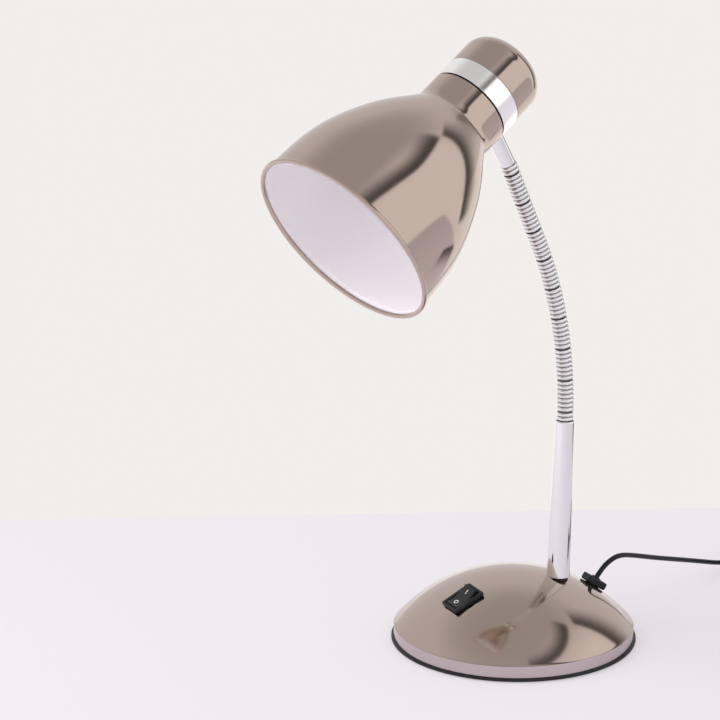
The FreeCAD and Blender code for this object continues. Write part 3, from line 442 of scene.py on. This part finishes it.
def flag_material():
    """Black studio cloth, crisp along one long edge and fading out towards the other."""
    made = bpy.data.materials.new("flag_cloth")
    tree = emptied(made)
    where = node(tree, "ShaderNodeTexCoord")
    apart = node(tree, "ShaderNodeSeparateXYZ", {0: where.outputs["UV"]})
    across = apart.outputs["Y"]
    from_middle = calc(tree, "ABSOLUTE", calc(tree, "SUBTRACT", apart.outputs["X"], 0.5))
    width = calc(tree, "MULTIPLY", ramp(tree, across, 0.0, 0.06), ramp(tree, across, 1.0, 0.12, smooth=True))
    cover = calc(tree, "MULTIPLY", width, ramp(tree, from_middle, 0.5, 0.44, smooth=True))
    clear = node(tree, "ShaderNodeBsdfTransparent")
    cloth = node(tree, "ShaderNodeEmission", {"Color": (0.10, 0.09, 0.085, 1)})
    node(tree, "ShaderNodeOutputMaterial", {"Surface": mixed(tree, cover, clear, cloth).outputs[0]})
    return made


def flag(name, crisp, soft, cloth):
    """A strip of cloth that only polished metal sees. Each long edge runs between two (heading, reach, height)."""
    bm = bmesh.new()
    bm.loops.layers.uv.new("UVMap")
    bmesh.ops.create_grid(bm, x_segments=48, y_segments=4, size=0.5, calc_uvs=True)
    for vert in bm.verts:
        along, across = vert.co.x + 0.5, vert.co.y + 0.5
        near = Vector(crisp[0]).lerp(Vector(crisp[1]), along)
        far = Vector(soft[0]).lerp(Vector(soft[1]), along)
        heading, reach, height = near.lerp(far, across)
        x = LAMP_MIDDLE[0] + reach * sin(radians(heading))
        y = LAMP_MIDDLE[1] + reach * cos(radians(heading))
        vert.co = Vector((x, y, height))
    mesh = bpy.data.meshes.new(name)
    bm.to_mesh(mesh)
    bm.free()
    mesh.materials.append(cloth)
    card = bpy.data.objects.new(name, mesh)
    bpy.context.scene.collection.objects.link(card)
    card.visible_camera = False
    card.visible_diffuse = False
    card.visible_shadow = False
    card.visible_transmission = False
    return card


def studio_world(colors):
    """Even wall for the camera, a pale tent with a dimmer top for polished metal, and soft light for the rest."""
    world = bpy.data.worlds.new("Studio")
    tree = emptied(world)
    where = node(tree, "ShaderNodeTexCoord").outputs["Generated"]
    apart = node(tree, "ShaderNodeSeparateXYZ", {0: where})
    panel = node(tree, "ShaderNodeVectorMath", {0: where, 1: PALE_PANEL}, operation="DOT_PRODUCT")
    top = ramp(tree, apart.outputs["Z"], 0.6, 0.95, 0.84, 0.58, True)
    lift = ramp(tree, panel.outputs["Value"], 0.45, 0.75, 0.0, 0.3, True)
    tent = node(tree, "ShaderNodeBackground", {"Color": (1.0, 0.975, 0.97, 1),
                                               "Strength": calc(tree, "ADD", top, lift)})
    light = node(tree, "ShaderNodeBackground", {"Color": (1.0, 0.985, 1.0, 1), "Strength": 0.82})
    plain = node(tree, "ShaderNodeBackground", {"Color": (*colors.wall, 1)})
    path = node(tree, "ShaderNodeLightPath").outputs
    shiny = mixed(tree, path["Is Glossy Ray"], light, tent)
    seen = mixed(tree, path["Is Camera Ray"], shiny, plain)
    node(tree, "ShaderNodeOutputWorld", {"Surface": seen.outputs[0]})
    return world


class LAMP_OT_stage(bpy.types.Operator):
    """Lay the pale table, hang the soft lights and set the dark cloths that the metal mirrors."""
    bl_idname = "lamp.stage"
    bl_label = "Stage"

    def execute(self, context):
        colors = context.scene.lamp_colors
        bm = bmesh.new()
        bmesh.ops.create_grid(bm, x_segments=1, y_segments=1, size=6.0)
        mesh = bpy.data.meshes.new("floor")
        bm.to_mesh(mesh)
        bm.free()
        mesh.materials.append(floor_material(colors))
        floor = bpy.data.objects.new("floor", mesh)
        context.scene.collection.objects.link(floor)

        for lamp in (soft_light("Key", (-0.25, -0.85, 1.25), (0, 0, 0.1), 0.5, 4.0, (1.0, 0.99, 0.98), 0.3),
                     soft_light("Wide", (-0.9, -1.3, 1.5), (0, 0, 0.12), 1.4, 5.0, (1.0, 0.985, 0.98)),
                     soft_light("Mouth", (-0.35, -1.2, 0.4), (0.02, -0.1, 0.27), 0.6, 3.2, (1.0, 0.985, 0.98))):
            lamp.visible_glossy = False

        cloth = flag_material()
        flag("flag_high", [(14.0, 0.62, 0.86), (112.0, 0.62, 0.86)], [(6.0, 0.62, 1.45), (112.0, 0.62, 1.45)], cloth)
        flag("flag_side", [(14.0, 0.9, 0.004), (14.0, 0.9, 1.12)], [(-8.0, 0.9, 0.004), (-8.0, 0.9, 1.12)], cloth)
        flag("flag_low", [(24.0, 0.56, 0.004), (6.0, 0.56, 0.004)], [(24.0, 0.36, 0.004), (-4.0, 0.36, 0.004)], cloth)

        context.scene.world = studio_world(colors)
        context.scene.view_settings.view_transform = "Standard"
        return {"FINISHED"}


# ---------------------------------------------------------------- base
class LAMP_OT_base(bpy.types.Operator):
    """Turn the domed shell, its black bottom plate and the foam foot."""
    bl_idname = "lamp.base"
    bl_label = "Base"

    def execute(self, context):
        r = context.scene.lamp_sizes.base_radius / MM
        reach = degrees(atan2(r - 0.5, 9.25 - DOME_CENTRE.z))
        bm = lathe((r - 1.0, 2.5), [(r, 2.45), (r, 8.75), (r - 0.12, 9.05), (r - 0.5, 9.25),
                                    (0, DOME_CENTRE.z, reach, 72)], 288)
        inner = SWITCH.inverted()
        doomed = []
        for face in bm.faces:
            spot = inner @ (BASE @ face.calc_center_median())
            if abs(spot.x) < 6.6 and abs(spot.y) < 9.2 and abs(spot.z) < 6:
                doomed.append(face)
        bmesh.ops.delete(bm, geom=doomed, context="FACES")
        # Faces of the upright skirt take the lighter plating, which holds painted reflection of the table.
        for face in bm.faces:
            if face.calc_center_median().z < 9.0:
                face.material_index = 1
        shell = finish_piece("dome_shell", bm, BASE, [material("gunmetal"), material("skirt_plating_painted_reflection")], "base",
                             ["base_shell"])
        plate = lathe((0, 2.35), [(69.2, 2.35), (69.75, 2.2), (70.0, 1.8), (70.0, 1.1), (69.7, 0.75), (69.2, 0.6),
                                  (59.3, 0.6), (59.3, 1.5), (0, 1.5)], 192)
        finish_piece("bottom_plate", plate, BASE, [material("black_plastic")], "base", ["base_plate"])
        foot = lathe((0, 1.45), [(58.7, 1.45), (59.0, 1.2), (59.0, 0.3), (58.7, 0.0), (0, 0)], 144)
        finish_piece("foam_foot", foot, BASE, [material("foam")], "base", ["foot_pad"])
        return {"FINISHED"}


# ---------------------------------------------------------------- stem
class LAMP_OT_stem(bpy.types.Operator):
    """Turn the tapered chrome stem with its rounded lip."""
    bl_idname = "lamp.stem"
    bl_label = "Stem"

    def execute(self, context):
        bm = lathe((6.35, 0.0), [(6.55, 0.2), (6.12, 46.0), (5.72, 90.9), (5.55, 91.4), (5.2, 91.75), (4.8, 91.7),
                                 (4.56, 91.3), (4.55, 78.0), (4.55, 0.0), (6.35, 0.0)], 96)
        finish_piece("stem", bm, STEM, [material("chrome")], "base", ["stem_tube"])
        return {"FINISHED"}


# ---------------------------------------------------------------- gooseneck
def banded(first, last, count, socket=False):
    """Rounded bands between two places on the neck, with painted shade in the grooves between them; a socket takes the
    ball below.
    """
    pitch = (last - first + 2 * SLIT) / count
    crown = bpy.context.scene.lamp_sizes.neck_tube_radius / MM
    half = pitch / 2 - SLIT
    rise = crown - GROOVE
    arc_radius = (half * half + rise * rise) / (2 * rise)
    sweep = degrees(2 * atan2(half, arc_radius - rise))
    moves = [(SOCKET, first + 2.4), (SOCKET, first)] if socket else [(NECK_BORE, first)]
    for i in range(count):
        middle = first - SLIT + pitch * (i + 0.5)
        moves.append((GROOVE, middle - half))
        moves.append((crown - arc_radius, middle, sweep, 8))
        if i + 1 < count:
            moves.append((GROOVE - 0.12, middle + half + 0.08))
            moves.append((GROOVE - 0.12, middle + half + 0.36))
    moves.append((NECK_BORE, last))
    start = (NECK_BORE, first + 4.0 if socket else first + 0.01)
    moves.append(start)
    bm = lathe(start, moves, 40)
    # Faces down in the grooves take the darker chrome copy: painted shade in the grooves.
    for face in bm.faces:
        spot = face.calc_center_median()
        if spot.xy.length < GROOVE + 0.03:
            face.material_index = 1
    for vert in bm.verts:
        place = neck_place(vert.co.z)
        vert.co = place @ Vector((vert.co.x, vert.co.y, 0))
    bmesh.ops.recalc_face_normals(bm, faces=bm.faces)
    return bm


def ball(s):
    """The seat ball between two lengths, darkened all over as painted shade."""
    bm = bmesh.new()
    bmesh.ops.create_uvsphere(bm, u_segments=32, v_segments=20, radius=BALL)
    bm.transform(neck_place(s))
    for face in bm.faces:
        # The ball takes the darker chrome copy: painted shade between the two lengths.
        face.material_index = 1
    return bm


class LAMP_OT_gooseneck(bpy.types.Operator):
    """Turn the banded lengths of the gooseneck and bend them along its curve."""
    bl_idname = "lamp.gooseneck"
    bl_label = "Gooseneck"

    def execute(self, context):
        skins = [material("chrome"), material("chrome_groove_painted_shade")]
        root = join_into(banded(0.1, SEATS[0] - SEAT_GAP, 2), ball(SEATS[0]))
        finish_piece("neck_root", root, Matrix(), skins, "base", ["gooseneck_root"], 60.0)
        for i in range(8):
            bm = join_into(banded(SEATS[i] + SEAT_GAP, SEATS[i + 1] - SEAT_GAP, 7, True), ball(SEATS[i + 1]))
            finish_piece(f"neck_length_{i + 1}", bm, Matrix(), skins, f"neck_{i + 1}", [f"gooseneck_link_{i + 1}"],
                         60.0)
        tip = banded(SEATS[8] + SEAT_GAP, NECK_LENGTH, 2, True)
        finish_piece("neck_tip", tip, Matrix(), skins, "head", ["gooseneck_tip"], 60.0)
        return {"FINISHED"}


# ---------------------------------------------------------------- head
def bell(offset):
    """Control points of the bell's curve, moved inward by an offset."""
    rim = bpy.context.scene.lamp_sizes.rim_radius / MM
    neck = bpy.context.scene.lamp_sizes.neck_radius / MM
    curve = [(rim, 0.0), (53.25, 12.41), (51.61, 31.34), (46.29, 48.21), (38.01, 66.82), (28.47, 80.49), (neck, 88.2)]
    return [(r - offset, s) for r, s in curve]


class LAMP_OT_shade(bpy.types.Operator):
    """Turn the bell-shaped shade with its rolled rim, and its white inside."""
    bl_idname = "lamp.shade"
    bl_label = "Shade"

    def execute(self, context):
        outer = bell(0.0)
        inner = bell(0.8)
        moves = outer[1:] + [(23.3, 103.7), (19.3, 103.7), (19.3, 102.9), (22.5, 102.9), inner[-1]]
        moves += inner[-2::-1][:-1] + [(52.2, 4.6), (52.2, 2.9), (52.75, 2.5), (52.75, 0.6), (53.4, 0.0)]
        bm = lathe(outer[0], moves, 64)
        crease = bm.edges.layers.float.new("crease_edge")
        for edge in bm.edges:
            rings = [((v.co.x**2 + v.co.y**2) ** 0.5, v.co.z) for v in edge.verts]
            level = abs(rings[0][1] - rings[1][1]) < 0.01 and abs(rings[0][0] - rings[1][0]) < 0.01
            s = rings[0][1]
            if level and (s > 102.5 or s < 5.0 or abs(s - 88.2) < 0.01):
                edge[crease] = 0.75 if abs(s - 88.2) < 0.01 else 1.0
        for face in bm.faces:
            spot = face.calc_center_median()
            outward = spot.x * face.normal.x + spot.y * face.normal.y
            if outward < -0.01 or (spot.z < 4.0 and (spot.x**2 + spot.y**2) ** 0.5 < 53.0):
                face.material_index = 1
        shade = finish_piece("shade_bell", bm, HEAD, [material("gunmetal"), material("shade_white")], "head", ["shade"],
                             level=2)
        bead = lathe((53.2 + 1.3, 0.0), [(53.2, 0.0, 360, 20)], 192)
        finish_piece("rim_bead", bead, HEAD, [material("gunmetal")], "head", (), 60.0)
        return {"FINISHED"}


class LAMP_OT_band_and_cap(bpy.types.Operator):
    """Turn the bright band and the round-ended cap behind the neck."""
    bl_idname = "lamp.band_and_cap"
    bl_label = "Band and cap"

    def execute(self, context):
        r = context.scene.lamp_sizes.neck_radius / MM
        end = context.scene.lamp_sizes.head_length / MM
        ring = lathe((r - 1.6, 104.75), [
            (r - 0.3, 104.7), (r - 0.08, 104.8), (r, 105.05), (r, 116.2), (r - 0.08, 116.45), (r - 0.3, 116.55),
            (r - 1.2, 116.55), (r - 1.2, 118.5), (r - 1.6, 118.5), (r - 1.6, 104.75)], 144)
        finish_piece("bright_band", ring, HEAD, [material("silver")], "head", ["band_ring"])
        cap = lathe((r - 1.0, 116.65), [
            (r - 0.25, 116.65), (r - 0.06, 116.75), (r, 117.0), (r, end - 11.0), (r - 11.0, end - 11.0, 90, 18),
            (0, end), (0, end - 1.0), (r - 11.0, end - 1.0), (r - 11.0, end - 11.0, -90, 12), (r - 1.0, 116.65)], 144)
        finish_piece("round_cap", cap, HEAD, [material("gunmetal")], "head", ["back_cap"])
        stub = lathe((2.4, 0.35), [(4.1, 0.35), (4.35, 0.45), (4.45, 0.75), (4.45, 22.2), (3.4, 22.2), (3.4, 28.4),
                                   (2.4, 28.4), (2.4, 0.35)], 64)
        finish_piece("neck_stub_tube", stub, STUB, [material("chrome")], "head", ["neck_stub"])
        return {"FINISHED"}


class LAMP_OT_holder(bpy.types.Operator):
    """Turn the lamp holder, its shade ring and the bulb inside the shade."""
    bl_idname = "lamp.holder"
    bl_label = "Holder and bulb"

    def execute(self, context):
        body = lathe((14.2, 72.4), [
            (14.6, 72.0), (18.6, 72.0), (19.0, 72.4), (19.0, 103.7), (21.0, 103.7), (21.4, 104.0), (21.4, 106.1),
            (14.0, 106.1), (14.0, 116.6), (0, 116.6), (0, 101.0), (14.2, 101.0), (14.2, 72.4)], 96)
        # The holder's collar that shows in the gap between the shade's neck and the band is made black: painted shade
        # in that gap.
        for face in body.faces:
            spot = face.calc_center_median()
            if spot.z > 103.0 and spot.xy.length > 20.0:
                face.material_index = 1
        finish_piece("holder_moulding", body, HEAD, [material("porcelain"), material("black_plastic")], "head",
                     ["holder_body"])
        ring = lathe((19.05, 98.9), [(21.2, 98.9), (21.6, 99.2), (21.6, 102.5), (21.2, 102.85), (19.05, 102.85),
                                     (19.05, 98.9)], 72)
        finish_piece("holder_ring", ring, HEAD, [material("porcelain")], "head", ["shade_ring"])

        seat = 99.8
        moves = [(4.0, seat), (5.2, seat - 1.2), (11.0, seat - 3.5), (12.2, seat - 4.6)]
        for i in range(5):
            z = seat - 5.4 - i * 3.6
            moves += [(12.6, z), (13.1, z - 0.9), (13.1, z - 1.6), (12.6, z - 2.7)]
        moves += [(12.8, seat - 24.0), (0, seat - 24.0)]
        cap = lathe((0, seat), moves, 64)
        finish_piece("bulb_screw_cap", cap, HEAD, [material("aluminium")], "head", ["bulb_base"], 50.0)
        globe = lathe((0, 33.0), [(0, 55.5, 118, 36), (17.2, 68.2), (15.0, 70.2), (13.5, 71.3), (13.0, 71.9),
                                  (13.0, 75.8), (0, 75.8)], 80)
        finish_piece("bulb_glass", globe, HEAD, [material("opal")], "head", ["bulb_globe"], 60.0)
        return {"FINISHED"}


# ---------------------------------------------------------------- switch
def mark_ring(radius, width, height):
    """A flat ring standing a hair proud, for the O mark."""
    inner = radius - width
    return lathe((inner, 0), [(radius, 0), (radius, height), (inner, height), (inner, 0)], 40)


class LAMP_OT_switch(bpy.types.Operator):
    """Build the switch's bevelled bezel and its rocker with the I and O marks."""
    bl_idname = "lamp.switch"
    bl_label = "Rocker switch"

    def execute(self, context):
        bm = block((15.0, 20.0, 1.9), (0, 0, 0.95), 0.0)
        lid = [f for f in bm.faces if abs(f.normal.z) > 0.9 and f.calc_center_median().z > 0]
        bmesh.ops.delete(bm, geom=lid, context="FACES")
        rim = [e for e in bm.edges if e.is_boundary]
        inset = bmesh.ops.extrude_edge_only(bm, edges=rim)
        inside = [v for v in inset["geom"] if isinstance(v, bmesh.types.BMVert)]
        bmesh.ops.scale(bm, vec=(10.9 / 15.0, 17.1 / 20.0, 1), verts=inside)
        wall = [e for e in inset["geom"] if isinstance(e, bmesh.types.BMEdge)]
        drop = bmesh.ops.extrude_edge_only(bm, edges=wall)
        low = [v for v in drop["geom"] if isinstance(v, bmesh.types.BMVert)]
        bmesh.ops.translate(bm, vec=(0, 0, -5.7), verts=low)
        bmesh.ops.contextual_create(bm, geom=[e for e in drop["geom"] if isinstance(e, bmesh.types.BMEdge)])
        bmesh.ops.recalc_face_normals(bm, faces=bm.faces)
        upright = [e for e in bm.edges if abs(e.verts[0].co.z - e.verts[1].co.z) > 1.5 and abs(e.verts[0].co.x) > 7]
        bmesh.ops.bevel(bm, geom=upright, offset=1.0, segments=4, affect="EDGES", profile=0.5, material=-1)
        top = [e for e in bm.edges if min(v.co.z for v in e.verts) > 1.85 and (max(abs(v.co.x) for v in e.verts) > 6.4
               or max(abs(v.co.y) for v in e.verts) > 8.9) and not e.is_boundary and e.calc_face_angle(0.0) > 0.8]
        bmesh.ops.bevel(bm, geom=top, offset=0.5, segments=3, affect="EDGES", profile=0.5, material=-1)
        lug = block((1.0, 3.0, 1.0), (7.7, 0, 0.6), 0.2)
        join_into(bm, lug)
        finish_piece("switch_bezel", bm, SWITCH, [material("black_plastic")], "base", ())

        body = block((12.8, 18.4, 6.0), (0, 0, -8.0), 0.4)
        finish_piece("switch_case", body, SWITCH, [material("black_plastic")], "base", ["switch_housing"])

        rocker = bmesh.new()
        length = 8.1
        end = rocker.verts.new((0, -length, -1.0))
        shoulder = bmesh.ops.extrude_vert_indiv(rocker, verts=[end])["verts"][0]
        shoulder.co = Vector((0, -7.5, 3.2))
        radius = (7.5**2 + 1.6**2) / (2 * 1.6)
        sweep = 2 * atan2(7.5, radius - 1.6)
        made = bmesh.ops.spin(
            rocker, geom=[shoulder], cent=(0, 0, 1.6 + radius), axis=(1, 0, 0), angle=sweep, steps=18)
        last = [v for v in made["geom_last"] if isinstance(v, bmesh.types.BMVert)][0]
        for y, z in [(length, -1.0), (3.0, -2.4), (-3.0, -2.4)]:
            new = bmesh.ops.extrude_vert_indiv(rocker, verts=[last])["verts"][0]
            new.co = Vector((0, y, z))
            last = new
        rocker.edges.new((last, end))
        bmesh.ops.remove_doubles(rocker, verts=rocker.verts, dist=0.001)
        face = bmesh.ops.contextual_create(rocker, geom=rocker.edges[:])["faces"][0]
        sides = bmesh.ops.extrude_face_region(rocker, geom=[face])
        moved = [v for v in sides["geom"] if isinstance(v, bmesh.types.BMVert)]
        bmesh.ops.translate(rocker, vec=(10.2, 0, 0), verts=moved)
        bmesh.ops.translate(rocker, vec=(-5.1, 0, 0), verts=rocker.verts)
        bmesh.ops.recalc_face_normals(rocker, faces=rocker.faces)
        edges = [e for e in rocker.edges if e.calc_face_angle(0.0) > 0.6]
        bmesh.ops.bevel(rocker, geom=edges, offset=0.35, segments=3, affect="EDGES", profile=0.5, material=-1)

        def on_face(y):
            """Height of the rocker's hollow at y, and its slope."""
            low = 1.6 + radius - sqrt(radius * radius - y * y)
            return low, atan2(y, sqrt(radius * radius - y * y))

        z, slope = on_face(-4.1)
        ring = mark_ring(1.35, 0.42, 0.08)
        ring.transform(Matrix.Translation((0, -4.1, z + 0.02)) @ Matrix.Rotation(slope, 4, "X"))
        z, slope = on_face(4.1)
        bar = block((0.42, 2.6, 0.08), (0, 0, 0.04))
        bar.transform(Matrix.Translation((0, 4.1, z + 0.04)) @ Matrix.Rotation(slope, 4, "X"))
        for marks in (ring, bar):
            for f in marks.faces:
                f.material_index = 1
            join_into(rocker, marks)
        tilt = Matrix.Translation((0, 0, 0.2)) @ Matrix.Rotation(context.scene.lamp_sizes.rocker_tilt, 4, "X")
        finish_piece("rocker", rocker, SWITCH @ tilt, [material("black_gloss"), material("print_white")], "rocker",
                     ["switch_rocker"])
        return {"FINISHED"}


# ---------------------------------------------------------------- cord
class LAMP_OT_bushing(bpy.types.Operator):
    """Shape the strain relief that holds the lead where it leaves the base."""
    bl_idname = "lamp.bushing"
    bl_label = "Strain relief"

    def execute(self, context):
        bm = block((9.0, 13.4, 4.3), (0, 0, 2.05), 1.1, 4)
        collar = lathe((1.5, 3.6), [(2.9, 3.6), (2.7, 4.5), (2.35, 4.85), (1.5, 4.9)], 40)
        join_into(bm, collar)
        tail = block((5.8, 7.2, 19.0), (0, 0, -8.0), 1.2)
        for vert in tail.verts:
            if vert.co.z < -10:
                vert.co.x *= 0.75
                vert.co.y *= 0.75
        join_into(bm, tail)
        finish_piece("cord_relief", bm, RELIEF, [material("black_plastic")], "base", ["cord_bushing"])
        return {"FINISHED"}


CORD_RUN = [
    (15.190, 49.114, 25.891), (16.581, 53.611, 32.848), (17.2, 60.7, 37.4), (16.9, 69.0, 38.5), (14.9, 82.3, 34.6),
    (11.9, 104.0, 27.2), (8.4, 128.0, 19.6), (4.9, 151.0, 12.2), (2.2, 169.0, 6.2), (-0.2, 184.0, 2.65),
    (-2.2, 199.0, 2.65),
]
COIL_PITCH = 3.55
COIL_INNER = 12.0
COIL_LAYERS = 4
COIL_STEPS = 6
COIL_ENTRY_STEP = 3.3


def coil_sides():
    """Distance from the coil's middle, and the layer, at the end of each half turn."""
    sides = [COIL_INNER + (COIL_STEPS + 1) * COIL_PITCH / 2]
    layers = [0]
    for layer in range(COIL_LAYERS):
        inward = -1 if layer % 2 == 0 else 1
        for k in range(COIL_STEPS):
            step = COIL_ENTRY_STEP if layer and k == 0 else COIL_PITCH / 2
            sides.append(sides[-1] + inward * step)
            layers.append(layer)
        if layer + 1 < COIL_LAYERS:
            sides.append(sides[-1] + inward * COIL_PITCH / 2)
            layers.append(layer + 1)
    return sides, layers


def cord_points():
    """The lead's control points: the free run, the coil's turns and the tail to the plug."""
    points = [Vector(p) for p in CORD_RUN]
    heading = (points[-1] - points[-2]).normalized()
    right = Vector((heading.y, -heading.x, 0))
    sides, layers = coil_sides()
    start = points[-1] + heading * 3.0
    middle = start + right * sides[0]
    steps = 7
    swell = 1 / cos(pi / steps / 2)
    out = right * -1
    ahead = heading
    for k in range(1, len(sides)):
        centre = middle + out * (sides[k - 1] - sides[k]) / 2
        reach = (sides[k - 1] + sides[k]) / 2
        rise = (layers[k] - layers[k - 1]) * COIL_PITCH
        for j in range(steps):
            share = (j + 0.5) / steps
            angle = pi * share
            climb = share * share * (3 - 2 * share)
            spot = centre + (out * cos(angle) + ahead * sin(angle)) * reach * swell
            spot.z = middle.z + layers[k - 1] * COIL_PITCH + rise * climb
            points.append(spot)
        out = out * -1
        ahead = ahead * -1
    last = middle + out * sides[-1]
    last.z = middle.z + layers[-1] * COIL_PITCH
    going = ahead
    end = last + going * 3.0
    away = Vector((-going.y, going.x, 0))
    level = 6.8 - end.z
    points += [
        end + going * 9,
        end + going * 19 + away * 2.6 + Vector((0, 0, 0.25 * level)),
        end + going * 28 + away * 8.8 + Vector((0, 0, 0.72 * level)),
        end + going * 35 + away * 17.5 + Vector((0, 0, level)),
        end + going * 42 + away * 26.5 + Vector((0, 0, level)),
    ]
    return points


class LAMP_OT_cord(bpy.types.Operator):
    """Lay the mains lead from the strain relief into its coil and on to the plug."""
    bl_idname = "lamp.cord"
    bl_label = "Mains lead"

    def execute(self, context):
        sizes = context.scene.lamp_sizes
        points = cord_points()
        data = bpy.data.curves.new("lead", "CURVE")
        data.dimensions = "3D"
        spline = data.splines.new("NURBS")
        spline.points.add(len(points) - 1)
        for point, place in zip(spline.points, points):
            point.co = (*(place * MM), 1.0)
        spline.order_u = 3
        spline.use_endpoint_u = True
        spline.resolution_u = 4
        data.bevel_depth = sizes.cord_diameter / 2
        data.bevel_resolution = 3
        data.use_fill_caps = True
        data.materials.append(material("sheath"))
        lead = bpy.data.objects.new("lead", data)
        context.scene.collection.objects.link(lead)
        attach(lead, "base")
        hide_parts("cord_run", "cord_coil", "cord_tail")
        return {"FINISHED"}


# ---------------------------------------------------------------- frame pieces that keep their shape
class LAMP_OT_inner_parts(bpy.types.Operator):
    """Give the frame's own pieces their finishes."""
    bl_idname = "lamp.inner_parts"
    bl_label = "Inner pieces"

    def execute(self, context):
        for name, nodes in {
            "zinc": ["shell_lugs", "base_screws", "stem_washer", "stem_stud", "stem_nut", "stub_nut", "holder_bracket",
                     "bracket_screws"],
            "iron": ["ballast_disc"],
            "black_plastic": ["stem_seat", "coil_tie"],
            "black_gloss": ["plug_body"],
            "brass": ["switch_tabs", "thread_sleeve", "centre_contact"],
            "pin_nickel": ["plug_pins"],
            "porcelain": ["terminal_block"],
            "wire": ["base_wires", "head_wires"],
        }.items():
            for each in nodes:
                dress(each, material(name))
        return {"FINISHED"}


# ---------------------------------------------------------------- panel and main
OPERATORS = (LAMP_OT_camera, LAMP_OT_cord, LAMP_OT_stage, LAMP_OT_base, LAMP_OT_stem, LAMP_OT_gooseneck, LAMP_OT_shade,
             LAMP_OT_band_and_cap, LAMP_OT_holder, LAMP_OT_switch, LAMP_OT_bushing, LAMP_OT_inner_parts)


class LAMP_PT_panel(bpy.types.Panel):
    bl_label = "Desk Lamp"
    bl_idname = "LAMP_PT_panel"
    bl_space_type = "VIEW_3D"
    bl_region_type = "UI"
    bl_category = "Desk Lamp"

    def draw(self, context):
        for group in (context.scene.lamp_sizes, context.scene.lamp_colors):
            for name in group.bl_rna.properties.keys():
                if name not in ("rna_type", "name"):
                    self.layout.prop(group, name)
        for operator in OPERATORS:
            self.layout.operator(operator.bl_idname)


CLASSES = (LampSizes, LampColors, *OPERATORS, LAMP_PT_panel)


def register():
    for each in CLASSES:
        bpy.utils.register_class(each)
    bpy.types.Scene.lamp_sizes = bpy.props.PointerProperty(type=LampSizes)
    bpy.types.Scene.lamp_colors = bpy.props.PointerProperty(type=LampColors)


def unregister():
    del bpy.types.Scene.lamp_colors
    del bpy.types.Scene.lamp_sizes
    for each in reversed(CLASSES):
        bpy.utils.unregister_class(each)


def main():
    register()
    for operator in OPERATORS:
        group, name = operator.bl_idname.split(".")
        getattr(getattr(bpy.ops, group), name)()


if __name__ == "__main__":
    main()
